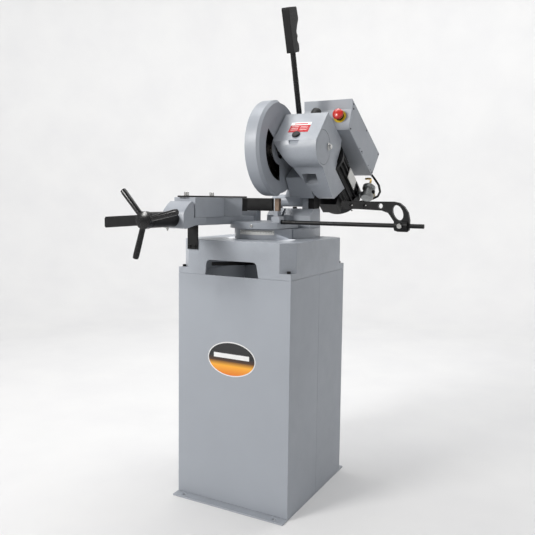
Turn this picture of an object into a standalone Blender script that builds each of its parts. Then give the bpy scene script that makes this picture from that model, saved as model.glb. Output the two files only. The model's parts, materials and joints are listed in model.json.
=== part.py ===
"""Pedestal cold saw: cabinet, casting tray, swivelling head support, screw vise, geared head and control box.

Metres, +Z up. The origin is the centre of the cabinet's footprint on the floor. +X is the operator's
right hand and -Y is the operator's side. The head is modelled raised, as it rests on its spring.
"""
import math

import bmesh
import bpy
from mathutils import Matrix, Vector

# ---------------------------------------------------------------- driving dimensions
GAP = 0.0003                      # clearance between touching pieces

HALF_W = 0.2075                   # cabinet half width, X
HALF_D = 0.219                    # cabinet half depth, Y
SHEET = 0.0025                    # cabinet sheet thickness
FOOT = 0.033                      # foot flange beyond the cabinet, front and rear
BASE_T = 0.005                    # base plate thickness
CABINET_TOP = 0.755
FLANGE_TOP = 0.775                # top of the tray's full-width flange
TRAY_TOP = 0.868
CHAMFER = 0.040                   # 45 degree corner of the tray body
TRAY_WALL = 0.009

RING_R = 0.105                    # graduated ring of the swivelling support
RING_TOP = 0.902
DISC_R = 0.120                    # fixed table disc above the ring
DISC_LOW = 0.9033
DISC_TOP = 0.925
COLUMN_R = 0.030

REST_Z = 0.960                    # where the work lies, and the foot of the jaws
JAW_TOP = 1.005
FIXED_JAW_Y = 0.0603              # clamping face of the fixed jaw
MOVING_JAW_Y = -0.040             # clamping face of the moving jaw at rest
SCREW_X = -0.125
SCREW_Z = 0.938
SCREW_R = 0.009
BED_LOW = 0.9155
BED_TOP = 0.942
BED_FRONT = -0.240

ROD_Y = -0.050                    # work stop rod, along X
ROD_Z = 0.926
ROD_R = 0.0068
ROD_END = 0.562

PIVOT_Y = 0.190                   # head hinge, along X
PIVOT_Z = 0.997
PIN_R = 0.0125
BARREL_R = 0.022
HEAD_TILT = math.radians(-35)     # the head's own frame, leaning back from level

# The head's own frame: x as the world's, y level towards the rear, z up, from the hinge.
BLADE_Y = -0.2144
BLADE_Z = 0.0708
BLADE_R = 0.1375
BLADE_T = 0.0025
WORM_OFFSET = 0.057               # worm above worm wheel
WORM_X = 0.125
MOTOR_R = 0.078
MOTOR_FRONT = -0.0850
MOTOR_REAR = 0.120
CASE_LEFT = 0.0305                # gearbox faces, X
CASE_RIGHT = 0.190
BELLY_R = 0.066
BOX_LEFT = 0.038                  # control box faces, X
BOX_RIGHT = 0.225
LEVER_X = 0.060
LEVER_FOOT = (-0.188, 0.1935)     # y, z on the gearbox roof
LEVER_TIP = (-0.385, 0.351)
GRIP_LENGTH = 0.148

GUARD_LOW = 95                    # front guard's sector, degrees from +Y, 180 faces the operator
GUARD_HIGH = 270


# ---------------------------------------------------------------- tools
def clear_scene():
    for item in list(bpy.data.objects):
        bpy.data.objects.remove(item, do_unlink=True)


def material(name, colour, roughness, metallic):
    made = bpy.data.materials.new(name)
    made.use_nodes = True
    shader = made.node_tree.nodes["Principled BSDF"]
    shader.inputs["Base Color"].default_value = (*colour, 1)
    shader.inputs["Roughness"].default_value = roughness
    shader.inputs["Metallic"].default_value = metallic
    return made


def empty(name, location, rotation=None, parent=None):
    made = bpy.data.objects.new(name, None)
    bpy.context.scene.collection.objects.link(made)
    made.parent = parent
    made.matrix_local = Matrix.Translation(location) @ (rotation or Matrix()).to_4x4()
    return made


def place(axis, u, v, along):
    """A point from its two outline values and its distance along the axis."""
    if axis == "X":
        return Vector((along, u, v))
    if axis == "Y":
        return Vector((u, along, v))
    return Vector((u, v, along))


def add_prism(mesh, outline, axis, low, high):
    """Extrude an outline, given in the two other axes' order, from low to high along the axis."""
    floor = mesh.faces.new([mesh.verts.new(place(axis, u, v, low)) for u, v in outline])
    grown = bmesh.ops.extrude_face_region(mesh, geom=[floor])["geom"]
    moved = [item for item in grown if isinstance(item, bmesh.types.BMVert)]
    bmesh.ops.translate(mesh, verts=moved, vec=place(axis, 0, 0, high - low))


def add_block(mesh, x, y, z):
    add_prism(mesh, [(x[0], y[0]), (x[1], y[0]), (x[1], y[1]), (x[0], y[1])], "Z", *z)


def add_turned(mesh, profile, axis, centre, segments=24, start=0.0, sweep=360.0):
    """Turn a profile of (radius, distance along axis) points. A full turn closes on itself; a part turn is
    capped. A profile that starts and ends on the axis is solid, any other is a closed ring section."""
    solid = profile[0][0] == 0 and profile[-1][0] == 0
    full = sweep >= 360.0
    steps = segments if full else segments + 1
    rings = []
    for step in range(steps):
        angle = math.radians(start + sweep * step / segments)
        ring = []
        for index, (radius, along) in enumerate(profile):
            if radius == 0 and step:
                ring.append(rings[0][index])
                continue
            u = centre[0] + radius * math.cos(angle)
            v = centre[1] + radius * math.sin(angle)
            ring.append(mesh.verts.new(place(axis, u, v, along)))
        rings.append(ring)
    count = len(profile)
    for step in range(segments):
        here, there = rings[step], rings[(step + 1) % steps]
        for index in range(count - 1 if solid else count):
            after = (index + 1) % count
            corners = [here[index], here[after], there[after], there[index]]
            unique = list(dict.fromkeys(corners))
            if len(unique) > 2:
                mesh.faces.new(unique)
    if not full:
        mesh.faces.new(rings[0])
        mesh.faces.new(rings[-1])


def add_tube(mesh, outer, inner, axis, centre, low, high, segments=24):
    add_turned(mesh, [(inner, low), (outer, low), (outer, high), (inner, high)], axis, centre, segments)


def add_rod(mesh, radius, axis, centre, low, high, segments=24):
    add_turned(mesh, [(0, low), (radius, low), (radius, high), (0, high)], axis, centre, segments)


def add_sweep(mesh, points, radius, sides):
    """A round bar through the points, capped at both ends."""
    points = [Vector(p) for p in points]
    rings = []
    reference = None
    for index, point in enumerate(points):
        way = (points[min(index + 1, len(points) - 1)] - points[max(index - 1, 0)]).normalized()
        if reference is None:
            reference = way.orthogonal()
        across = (reference - way * reference.dot(way)).normalized()
        reference = across
        other = way.cross(across)
        rings.append([mesh.verts.new(point + across * radius * math.cos(2 * math.pi * side / sides)
                                     + other * radius * math.sin(2 * math.pi * side / sides))
                      for side in range(sides)])
    for here, there in zip(rings, rings[1:]):
        for side in range(sides):
            after = (side + 1) % sides
            mesh.faces.new([here[side], here[after], there[after], there[side]])
    mesh.faces.new(rings[0])
    mesh.faces.new(rings[-1])


def finish(name, mesh, finish_material, parent=None, smooth=True):
    """Turn the mesh into one named object with outward faces."""
    bmesh.ops.recalc_face_normals(mesh, faces=mesh.faces)
    data = bpy.data.meshes.new(name)
    mesh.to_mesh(data)
    mesh.free()
    if smooth:
        data.shade_smooth()
        data.set_sharp_from_angle(angle=math.radians(35))
    made = bpy.data.objects.new(name, data)
    bpy.context.scene.collection.objects.link(made)
    made.parent = parent
    if finish_material:
        data.materials.append(finish_material)
    return made


def combine(target, operation, builder, parent=None, label="tool"):
    """Add to or cut from the target with a hidden solid made by builder(mesh)."""
    mesh = bmesh.new()
    builder(mesh)
    tool = finish(f"{target.name}.{label}.{len(target.modifiers)}", mesh, None, parent or target.parent)
    tool.hide_render = True
    tool.display_type = "WIRE"
    change = target.modifiers.new(f"{operation} {len(target.modifiers)}", "BOOLEAN")
    change.operation = operation
    change.solver = "EXACT"
    change.object = tool
    return tool


def arc(centre, radius, start, end, steps):
    """Points on an arc, in degrees, both ends included."""
    points = []
    for step in range(steps + 1):
        angle = math.radians(start + (end - start) * step / steps)
        points.append((centre[0] + radius * math.cos(angle), centre[1] + radius * math.sin(angle)))
    return points


def rectangle(u, v):
    return [(u[0], v[0]), (u[1], v[0]), (u[1], v[1]), (u[0], v[1])]


def chamfered(half_u, half_v, cut):
    """A rectangle about the origin with its four corners cut at 45 degrees."""
    return [
        (half_u - cut, -half_v), (half_u, cut - half_v), (half_u, half_v - cut), (half_u - cut, half_v),
        (cut - half_u, half_v), (-half_u, half_v - cut), (-half_u, cut - half_v), (cut - half_u, -half_v),
    ]


# ---------------------------------------------------------------- cabinet and tray
def cabinet(paint):
    base = bmesh.new()
    add_block(base, (-HALF_W, HALF_W), (-HALF_D - FOOT, HALF_D + FOOT), (0, BASE_T))
    plate = finish("cabinet_base", base, paint)

    def anchor_holes(mesh):
        for x in (-0.170, 0.170):
            for y in (-HALF_D - FOOT / 2, HALF_D + FOOT / 2):
                add_rod(mesh, 0.006, "Z", (x, y), -0.01, 0.02, 12)
    combine(plate, "DIFFERENCE", anchor_holes)

    for name, front in (("cabinet_front_shell", -1), ("cabinet_rear_shell", 1)):
        mesh = bmesh.new()
        seam = GAP / 2 * front
        outline = [
            (-HALF_W, seam), (-HALF_W, front * HALF_D), (HALF_W, front * HALF_D), (HALF_W, seam),
            (HALF_W - SHEET, seam), (HALF_W - SHEET, front * (HALF_D - SHEET)),
            (SHEET - HALF_W, front * (HALF_D - SHEET)), (SHEET - HALF_W, seam),
        ]
        add_prism(mesh, outline, "Z", BASE_T + GAP, CABINET_TOP - GAP)
        finish(name, mesh, paint)


def coolant_tank(grey):
    mesh = bmesh.new()
    add_block(mesh, (-0.150, 0.120), (-0.02, 0.180), (BASE_T + GAP, 0.150))
    tank = finish("coolant_tank", mesh, grey)
    combine(tank, "DIFFERENCE", lambda m: add_block(m, (-0.147, 0.117), (-0.017, 0.177), (0.009, 0.20)))


def tray(paint):
    mesh = bmesh.new()
    add_prism(mesh, chamfered(HALF_W, HALF_D, CHAMFER), "Z", FLANGE_TOP - 0.002, TRAY_TOP)
    casting = finish("base_tray", mesh, paint)
    combine(casting, "UNION",
            lambda m: add_block(m, (-HALF_W, HALF_W), (-HALF_D, HALF_D), (CABINET_TOP, FLANGE_TOP)))
    inside = chamfered(HALF_W - TRAY_WALL, HALF_D - TRAY_WALL, CHAMFER)
    combine(casting, "DIFFERENCE",
            lambda m: add_prism(m, inside, "Z", CABINET_TOP - 0.01, TRAY_TOP - 0.012))
    combine(casting, "UNION",
            lambda m: add_rod(m, 0.008, "Z", (0.040, -0.070), 0.774, TRAY_TOP - 0.006, 16))

    def window(m):
        top = 0.804
        outline = [(-0.104, CABINET_TOP - 0.02), (0.098, CABINET_TOP - 0.02)]
        outline += arc((0.074, top - 0.014), 0.014, 0, 90, 4)
        outline += arc((-0.085, top - 0.014), 0.014, 90, 180, 4)
        add_prism(m, outline, "Y", -HALF_D - 0.02, -HALF_D + 0.03)
    combine(casting, "DIFFERENCE", window)
    combine(casting, "DIFFERENCE",
            lambda m: add_rod(m, COLUMN_R + GAP, "Z", (0, 0), TRAY_TOP - 0.03, TRAY_TOP + 0.02))


def strap(black):
    mesh = bmesh.new()
    face = -HALF_D - GAP
    outline = [
        (face, 0.836), (face, BED_LOW - GAP), (face - 0.020, BED_LOW - GAP), (face - 0.020, BED_LOW - 0.005),
        (face - 0.005, BED_LOW - 0.005), (face - 0.005, 0.836),
    ]
    add_prism(mesh, outline, "X", -0.169, -0.129)
    finish("vise_strap", mesh, black)


def swivel_lock(black):
    """The lever turns on a boss under the tray's roof and swings in the front window."""
    mesh = bmesh.new()
    pivot = (0.040, -0.070)
    add_tube(mesh, 0.017, 0.0083, "Z", pivot, 0.778, 0.802, 20)
    lever = finish("swivel_lock_lever", mesh, black)
    tip = Vector((-0.084, -0.207))
    along = (tip - Vector(pivot)).normalized()
    side = Vector((-along.y, along.x))

    def bar(m):
        start = Vector(pivot) + along * 0.012
        outline = [start + side * 0.008, start - side * 0.008, tip - side * 0.005, tip + side * 0.005]
        add_prism(m, [tuple(p) for p in outline], "Z", 0.784, 0.796)
    combine(lever, "UNION", bar)


# ---------------------------------------------------------------- swivelling support
def column(steel):
    mesh = bmesh.new()
    low = TRAY_TOP - 0.045
    add_turned(mesh, [(0, low), (0.040, low), (0.040, TRAY_TOP - 0.012 - GAP), (COLUMN_R, TRAY_TOP - 0.012 - GAP),
                      (COLUMN_R, DISC_LOW - GAP), (0, DISC_LOW - GAP)], "Z", (0, 0), 32)
    finish("swivel_column", mesh, steel)


def support(paint):
    """Graduated ring, foot and two hinge ears in one casting."""
    low = TRAY_TOP + GAP
    mesh = bmesh.new()
    add_tube(mesh, RING_R, COLUMN_R + GAP, "Z", (0, 0), low, RING_TOP, 36)
    casting = finish("head_support", mesh, paint)
    foot = [(-0.088, 0.040), (0.108, 0.000), (0.128, 0.060), (0.128, 0.130), (0.111, 0.224), (-0.070, 0.224),
            (-0.088, 0.140)]
    combine(casting, "UNION", lambda m: add_prism(m, foot, "Z", low, RING_TOP - 0.002))
    upright = [(0.132, 0.890), (0.224, 0.890), (0.218, 0.968), (0.158, 0.968), (0.132, 0.944)]
    combine(casting, "UNION", lambda m: add_prism(m, upright, "X", -0.063, 0.111))
    for x_low, x_high in ((-0.063, -0.040), (0.064, 0.087)):
        ear = [(PIVOT_Y - BARREL_R - 0.006, 0.950), (PIVOT_Y + BARREL_R + 0.006, 0.950)]
        ear += arc((PIVOT_Y, PIVOT_Z), BARREL_R, 0, 180, 10)
        combine(casting, "UNION", lambda m, e=ear, a=x_low, b=x_high: add_prism(m, e, "X", a, b))
    combine(casting, "DIFFERENCE",
            lambda m: add_rod(m, PIN_R + GAP, "X", (PIVOT_Y, PIVOT_Z), -0.08, 0.10))
    combine(casting, "DIFFERENCE",
            lambda m: add_block(m, (-0.005, 0.005), (0.120, 0.160), (RING_TOP + 0.004, 0.98)))
    combine(casting, "DIFFERENCE",
            lambda m: add_rod(m, COLUMN_R + GAP, "Z", (0, 0), low - 0.01, RING_TOP + 0.01))


def hinge_pin(steel):
    mesh = bmesh.new()
    low, high = -0.068, 0.107
    add_turned(mesh, [(0, low), (0.017, low), (0.017, -0.0635), (PIN_R, -0.0635), (PIN_R, high - 0.001),
                      (PIN_R - 0.001, high), (0, high)], "X", (PIVOT_Y, PIVOT_Z), 24)
    finish("hinge_pin", mesh, steel)


def spring_set(black, steel):
    """A torsion spring round the pin's end, in its black housing on the support."""
    cover = bmesh.new()
    outline = rectangle((PIVOT_Y - 0.025, PIVOT_Y + 0.025), (0.9685, 1.0195))
    add_prism(cover, outline, "X", 0.087 + GAP, 0.111)
    body = finish("spring_housing", cover, black)
    combine(body, "DIFFERENCE", lambda m: add_rod(m, 0.0205, "X", (PIVOT_Y, PIVOT_Z), 0.08, 0.109))
    coil = bmesh.new()
    turns, steps, wire, radius = 4, 12, 0.0014, 0.0168
    path = []
    for step in range(turns * steps + 1):
        angle = 2 * math.pi * step / steps
        path.append((0.0905 + 0.0155 * step / (turns * steps), PIVOT_Y + radius * math.cos(angle),
                     PIVOT_Z + radius * math.sin(angle)))
    add_sweep(coil, path, wire, 5)
    finish("return_spring", coil, steel)


def stop_bolt(black):
    mesh = bmesh.new()
    add_rod(mesh, 0.009, "Z", (0.022, PIVOT_Y), 0.968 + GAP, PIVOT_Z - BARREL_R - 0.0008, 6)
    finish("depth_stop_bolt", mesh, black)


# ---------------------------------------------------------------- vise and work stop
def vise_bed(paint):
    mesh = bmesh.new()
    add_rod(mesh, DISC_R, "Z", (0, 0), DISC_LOW, DISC_TOP, 40)
    bed = finish("vise_bed", mesh, paint)
    arm = [(-0.172, BED_FRONT), (-0.106, BED_FRONT), (-0.092, -0.100), (-0.076, -0.052), (-0.050, 0.010),
           (-0.104, 0.020), (-0.150, -0.070)]
    combine(bed, "UNION", lambda m: add_prism(m, arm, "Z", BED_LOW, BED_TOP))
    seat = REST_Z - GAP
    block = [(-0.128, 0.045), (-0.058, 0.045), (-0.058, 0.074), (-0.104, 0.074)]
    combine(bed, "UNION", lambda m: add_prism(m, block, "Z", 0.918, seat))
    combine(bed, "UNION", lambda m: add_block(m, (0.005, 0.0215), (0.052, 0.079), (0.910, seat)))
    combine(bed, "UNION", lambda m: add_block(m, (0.058, 0.0885), (-0.066, -0.034), (0.910, 0.944)))
    combine(bed, "DIFFERENCE",
            lambda m: add_rod(m, ROD_R + 0.0005, "X", (ROD_Y, ROD_Z), 0.070, 0.14, 12))
    combine(bed, "DIFFERENCE", lambda m: add_block(m, (0.0885, 0.14), (-0.13, 0.13), (0.89, 0.96)))
    combine(bed, "DIFFERENCE",
            lambda m: add_block(m, (SCREW_X - 0.012, SCREW_X + 0.012), (-0.30, -0.055), (0.9275, 0.96)))
    combine(bed, "DIFFERENCE", lambda m: add_block(m, (-0.003, 0.003), (-0.112, 0.112), (0.919, 0.93)))


def jaws(black, raw):
    mesh = bmesh.new()
    add_block(mesh, (-0.122, -0.005), (FIXED_JAW_Y, 0.075), (REST_Z, JAW_TOP))
    finish("fixed_jaw", mesh, black)
    mesh = bmesh.new()
    add_block(mesh, (0.005, 0.0215), (FIXED_JAW_Y, 0.078), (REST_Z, JAW_TOP))
    finish("wear_block", mesh, raw)
    mesh = bmesh.new()
    back = MOVING_JAW_Y - 0.012
    outline = [(-0.185, MOVING_JAW_Y), (-0.185, back), (-0.060, back), (-0.048, MOVING_JAW_Y)]
    add_prism(mesh, outline, "Z", REST_Z, JAW_TOP)
    finish("moving_jaw", mesh, black)
    mesh = bmesh.new()
    outline = [(-0.185, MOVING_JAW_Y), (-0.185, -0.066), (-0.146, -0.110), (-0.146, -0.312), (-0.112, -0.312),
               (-0.112, -0.110), (-0.052, -0.046), (-0.050, MOVING_JAW_Y)]
    add_prism(mesh, outline, "Z", JAW_TOP + GAP, JAW_TOP + 0.0055)
    finish("anti_burr_plate", mesh, black)


def vise_slide(paint, steel):
    back = MOVING_JAW_Y - 0.012 - GAP
    outline = [(-0.180, back), (-0.180, -0.100), (-0.165, -0.122), (-0.165, -0.302), (-0.085, -0.302),
               (-0.087, -0.130), (-0.110, -0.102), (-0.062, back)]
    mesh = bmesh.new()
    add_prism(mesh, outline, "Z", BED_TOP + GAP, JAW_TOP)
    slide = finish("vise_slide", mesh, paint)
    combine(slide, "DIFFERENCE",
            lambda m: add_rod(m, SCREW_R + 0.0008, "Y", (SCREW_X, SCREW_Z), -0.32, -0.056, 16))
    low = JAW_TOP + 0.0055 + GAP
    for name, y in (("slide_bolt_rear", -0.147), ("slide_bolt_front", -0.293)):
        bolt = bmesh.new()
        head = [(0, low), (0.008, low), (0.008, low + 0.011), (0.0045, low + 0.011), (0.0045, low + 0.005),
                (0, low + 0.005)]
        add_turned(bolt, head, "Z", (SCREW_X, y), 16)
        finish(name, bolt, steel)


def screw_housing(paint):
    """Fixed casting that closes the bed's front end and carries the screw's sleeve."""
    outline = [(BED_FRONT - GAP, 0.923), (BED_FRONT - GAP, BED_TOP), (-0.308, BED_TOP), (-0.3105, 0.990),
               (-0.322, 0.993), (-0.338, 0.984), (-0.358, 0.966), (-0.364, 0.955), (-0.364, 0.912), (-0.350, 0.909),
               (-0.300, 0.918)]
    mesh = bmesh.new()
    add_prism(mesh, outline, "X", -0.165, -0.085)
    housing = finish("screw_housing", mesh, paint)
    combine(housing, "DIFFERENCE",
            lambda m: add_rod(m, SCREW_R + 0.0008, "Y", (SCREW_X, SCREW_Z), -0.40, -0.20, 16))


def screw_sleeve(black):
    mesh = bmesh.new()
    inner = SCREW_R + 0.0008
    profile = [(inner, -0.4835), (0.021, -0.4835), (0.0235, -0.480), (0.0235, -0.366), (0.0235, -0.3643),
               (inner, -0.3643)]
    add_turned(mesh, profile, "Y", (SCREW_X, SCREW_Z), 24)
    finish("screw_sleeve", mesh, black)


def vise_screw(steel, black):
    mesh = bmesh.new()
    add_rod(mesh, SCREW_R, "Y", (SCREW_X, SCREW_Z), -0.4898, -0.062, 20)
    finish("vise_screw", mesh, steel)
    hub = bmesh.new()
    add_turned(hub, [(0, -0.514), (0.014, -0.514), (0.026, -0.509), (0.026, -0.4901), (0, -0.4901)], "Y",
               (SCREW_X, SCREW_Z), 24)
    wheel = finish("vise_handwheel", hub, black)
    for spoke in range(3):
        angle = math.radians(13 + 120 * spoke)
        way = Vector((math.cos(angle), 0, math.sin(angle)))
        turn = Vector((0, 0, 1)).rotation_difference(way).to_matrix().to_4x4()
        start = Vector((SCREW_X, -0.500, SCREW_Z))

        def bar(m, turn=turn, start=start):
            profile = [(0, 0.010), (0.0082, 0.010), (0.0094, 0.108), (0.0082, 0.117), (0, 0.117)]
            add_turned(m, profile, "Z", (0, 0), 12)
            bmesh.ops.transform(m, matrix=Matrix.Translation(start) @ turn, verts=m.verts)
        combine(wheel, "UNION", bar)


def quick_lever(black):
    mesh = bmesh.new()
    low, high = -0.4895, -0.4838
    add_tube(mesh, 0.024, SCREW_R + 0.0006, "Y", (SCREW_X, SCREW_Z), low, high, 24)
    lever = finish("quick_lock_lever", mesh, black)
    outline = [(SCREW_X - 0.015, SCREW_Z - 0.0155), (SCREW_X - 0.015, SCREW_Z + 0.0155),
               (SCREW_X - 0.157, SCREW_Z + 0.0065), (SCREW_X - 0.161, SCREW_Z + 0.001),
               (SCREW_X - 0.161, SCREW_Z - 0.022), (SCREW_X - 0.157, SCREW_Z - 0.0265)]
    combine(lever, "UNION", lambda m: add_prism(m, outline, "Y", low, high))


def work_stop(black, steel):
    mesh = bmesh.new()
    add_rod(mesh, ROD_R, "X", (ROD_Y, ROD_Z), 0.070 + GAP, ROD_END, 16)
    finish("stop_rod", mesh, black)

    mesh = bmesh.new()
    outline = [(0.518, 0.914), (0.512, 0.908), (0.482, 0.908), (0.470, 0.920)]
    outline += [(0.472, 0.938), (0.453, 0.964), (0.433, 0.971), (0.360, 0.974), (0.312, 0.974), (0.300, 0.984),
                (0.302, 0.998), (0.470, 0.999), (0.488, 0.995), (0.503, 0.983), (0.514, 0.966), (0.519, 0.944)]
    half = 0.007
    add_prism(mesh, outline, "Y", ROD_Y - half, ROD_Y + half)
    arm = finish("stop_arm", mesh, black)
    combine(arm, "UNION", lambda m: add_rod(m, 0.0165, "X", (ROD_Y, ROD_Z), 0.474, 0.514, 16))
    combine(arm, "DIFFERENCE", lambda m: add_rod(m, ROD_R + 0.0004, "X", (ROD_Y, ROD_Z), 0.44, 0.55, 16))

    def holes(m):
        lean = math.radians(115)
        oval = []
        for step in range(20):
            turn = 2 * math.pi * step / 20
            u, v = 0.0245 * math.cos(turn), 0.0155 * math.sin(turn)
            oval.append((0.483 + u * math.cos(lean) - v * math.sin(lean),
                         0.9655 + u * math.sin(lean) + v * math.cos(lean)))
        add_prism(m, oval, "Y", ROD_Y - 0.02, ROD_Y + 0.02)
        for x in (0.428, 0.381, 0.336):
            add_rod(m, 0.0078, "Y", (x, 0.985), ROD_Y - 0.02, ROD_Y + 0.02, 12)
    combine(arm, "DIFFERENCE", holes)

    mesh = bmesh.new()
    low = ROD_Y - 0.0165 - GAP
    profile = [(0, low - 0.012), (0.0075, low - 0.012), (0.0075, low), (0, low)]
    add_turned(mesh, profile, "Y", (0.494, ROD_Z), 12)
    finish("stop_clamp_screw", mesh, steel)


# ---------------------------------------------------------------- head casting and gears
def head_casting(paint, head):
    """Gearbox, the arm to the hinge and the hinge barrel in one hollow casting."""
    worm_z = BLADE_Z + WORM_OFFSET
    outline = [(-0.255, 0.189), (-0.103, 0.195), (-0.0905, 0.160), (-0.0905, 0.105), (0.040, 0.095),
               (-0.030, -0.010), (-0.049, -0.017)]
    outline += arc((BLADE_Y, BLADE_Z), BELLY_R, -60, -163, 9)
    mesh = bmesh.new()
    add_prism(mesh, outline, "X", CASE_LEFT, CASE_RIGHT)
    casting = finish("head_casting", mesh, paint, head)

    def slant(m):
        """The lower left side slants away from the blade towards the hinge."""
        add_block(m, (-0.4, 0.4), (-0.4, 0.4), (-0.4, 0))
        turn = Vector((0, 0, 1)).rotation_difference(Vector((0.833, -0.209, 0.516))).to_matrix().to_4x4()
        bmesh.ops.transform(m, matrix=Matrix.Translation((CASE_LEFT, -0.277, 0.052)) @ turn, verts=m.verts)
    combine(casting, "DIFFERENCE", slant)
    wide_arm = [(-0.042, -0.018), (-0.042, 0.066), (-0.062, 0.092), (-0.100, 0.080), (-0.125, 0.012),
                (-0.060, -0.016)]
    combine(casting, "UNION", lambda m: add_prism(m, wide_arm, "X", 0.030, 0.118))
    narrow_arm = [(0.004, -0.0205), (0.016, 0.014), (-0.034, 0.064), (-0.052, 0.062), (-0.052, -0.0205)]
    combine(casting, "UNION", lambda m: add_prism(m, narrow_arm, "X", 0.008, 0.062))
    combine(casting, "UNION", lambda m: add_rod(m, BARREL_R, "X", (0, 0), -0.0397, 0.0637))
    combine(casting, "DIFFERENCE", lambda m: add_rod(m, PIN_R + 0.0005, "X", (0, 0), -0.06, 0.08, 24))
    centre = (BLADE_Y, BLADE_Z)
    hollow = [(0, 0.0), (0.0261, 0.0), (0.0261, 0.080), (0.0551, 0.080), (0.0551, 0.1812), (0.0588, 0.1812),
              (0.0588, 0.21), (0, 0.21)]
    combine(casting, "DIFFERENCE", lambda m: add_turned(m, hollow, "X", centre, 30, 3))
    combine(casting, "DIFFERENCE",
            lambda m: add_rod(m, 0.0205, "Y", (WORM_X, worm_z), -0.240, -0.05, 24))
    combine(casting, "DIFFERENCE",
            lambda m: add_rod(m, MOTOR_R + 0.0045, "Y", (WORM_X, worm_z), MOTOR_FRONT - GAP, 0.20, 36))
    combine(casting, "DIFFERENCE", lambda m: add_block(m, (0.104, 0.156), (-0.152, -0.106), (-0.05, 0.092)))

    def recess(m):
        """U-shaped scoop that runs down from the filler plug over the belly."""
        scoop = [(0.089, 0.0535), (0.127, 0.0535)] + arc((0.108, 0.0500), 0.0185, -4, -176, 12)
        add_prism(m, scoop, "Y", -0.290, -0.2715)
    combine(casting, "DIFFERENCE", recess)


def gear_cover(paint, steel, black, head):
    centre = (BLADE_Y, BLADE_Z)
    mesh = bmesh.new()
    profile = [(0, CASE_RIGHT), (0.0577, CASE_RIGHT), (0.0577, 0.182), (0.032, 0.182), (0.032, 0.166),
               (0.0262, 0.166), (0.0262, 0.1815), (0, 0.1815)]
    add_turned(mesh, profile, "X", centre, 32)
    finish("gear_cover", mesh, paint, head)

    mesh = bmesh.new()
    low = CASE_RIGHT + GAP
    bolt = (-0.181, 0.100)
    profile = [(0, low), (0.0125, low), (0.0125, low + 0.002), (0.0095, low + 0.002), (0.0085, low + 0.010),
               (0, low + 0.010)]
    add_turned(mesh, profile, "X", bolt, 16)
    finish("level_plug", mesh, steel, head)

    # black filler plug on the slanted front face
    face_top, face_low = Vector((-0.255, 0.189)), Vector((-0.2775, 0.0515))
    along = (face_low - face_top).normalized()
    spot = face_top + along * 0.112
    turn = Matrix(((1, 0, 0), (0, along.y, along.x), (0, -along.x, along.y))).to_3x3()
    seat = empty("filler_axis", (0.108, spot.x, spot.y), turn, head)
    mesh = bmesh.new()
    add_turned(mesh, [(0, 0.0006), (0.014, 0.0006), (0.014, 0.004), (0.013, 0.006), (0, 0.006)], "Y", (0, 0), 20)
    finish("filler_plug", mesh, black, seat)

    mesh = bmesh.new()
    roof = 0.1945
    profile = [(0, roof), (0.019, roof), (0.019, roof + 0.034), (0.016, roof + 0.045), (0.008, roof + 0.049),
               (0, roof + 0.049)]
    add_turned(mesh, profile, "Z", (0.120, -0.212), 20)
    finish("oil_breather", mesh, black, head)


def drive(steel, bronze, blade_steel, head):
    centre = (BLADE_Y, BLADE_Z)
    half = BLADE_T / 2
    mesh = bmesh.new()
    profile = [(0, -0.0090), (0.010, -0.0090), (0.010, half + GAP), (0.030, half + GAP), (0.030, 0.016),
               (0.0185, 0.022), (0.0125, 0.024), (0.0125, 0.1795), (0, 0.1795)]
    add_turned(mesh, profile, "X", centre, 28)
    finish("spindle", mesh, steel, head)

    mesh = bmesh.new()
    teeth = 56
    outline = []
    for tooth in range(teeth):
        angle = 360 / teeth * tooth
        outline += arc(centre, BLADE_R, angle, angle + 0.9, 1)
        outline += arc(centre, BLADE_R - 0.0050, angle + 3.2, angle + 3.2, 1)[:1]
    add_prism(mesh, outline, "X", -half, half)
    blade = finish("blade", mesh, blade_steel, head, smooth=False)
    combine(blade, "DIFFERENCE", lambda m: add_rod(m, 0.0103, "X", centre, -0.01, 0.01, 24))

    mesh = bmesh.new()
    add_turned(mesh, [(0.0103, -half - GAP), (0.030, -half - GAP), (0.030, -0.0065), (0.026, -0.0088),
                      (0.0103, -0.0088)], "X", centre, 28)
    finish("blade_flange", mesh, steel, head)
    mesh = bmesh.new()
    add_rod(mesh, 0.0115, "X", centre, -0.0135, -0.0093, 6)
    finish("blade_bolt", mesh, steel, head)

    mesh = bmesh.new()
    outline = []
    teeth = 36
    for tooth in range(teeth):
        angle = 360 / teeth * tooth
        outline += arc(centre, 0.0415, angle - 1.6, angle + 1.6, 1)
        outline += arc(centre, 0.0385, angle + 3.2, angle + 6.8, 1)
    add_prism(mesh, outline, "X", WORM_X - 0.014, WORM_X + 0.014)
    wheel = finish("worm_wheel", mesh, bronze, head)
    combine(wheel, "DIFFERENCE", lambda m: add_rod(m, 0.0128, "X", centre, 0.10, 0.15, 28))

    worm = (WORM_X, BLADE_Z + WORM_OFFSET)
    for name, low, high in (("spindle_bearing_left", 0.040, 0.055), ("spindle_bearing_right", 0.1665, 0.179)):
        mesh = bmesh.new()
        add_tube(mesh, 0.0257, 0.0128, "X", centre, low, high, 24)
        finish(name, mesh, steel, head)

    mesh = bmesh.new()
    thread_start, pitch = -0.2435 + 0.006, 0.0075
    profile = [(0, -0.238), (0.0105, -0.238)]
    for ridge in range(6):
        base = thread_start + pitch * ridge
        profile += [(0.0105, base + 0.001), (0.0150, base + 0.0028), (0.0150, base + 0.0042), (0.0105, base + 0.006)]
    profile += [(0.0105, -0.092), (0.0105, MOTOR_FRONT + 0.006), (0, MOTOR_FRONT + 0.006)]
    add_turned(mesh, profile, "Y", worm, 14)
    finish("worm_shaft", mesh, steel, head)


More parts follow.
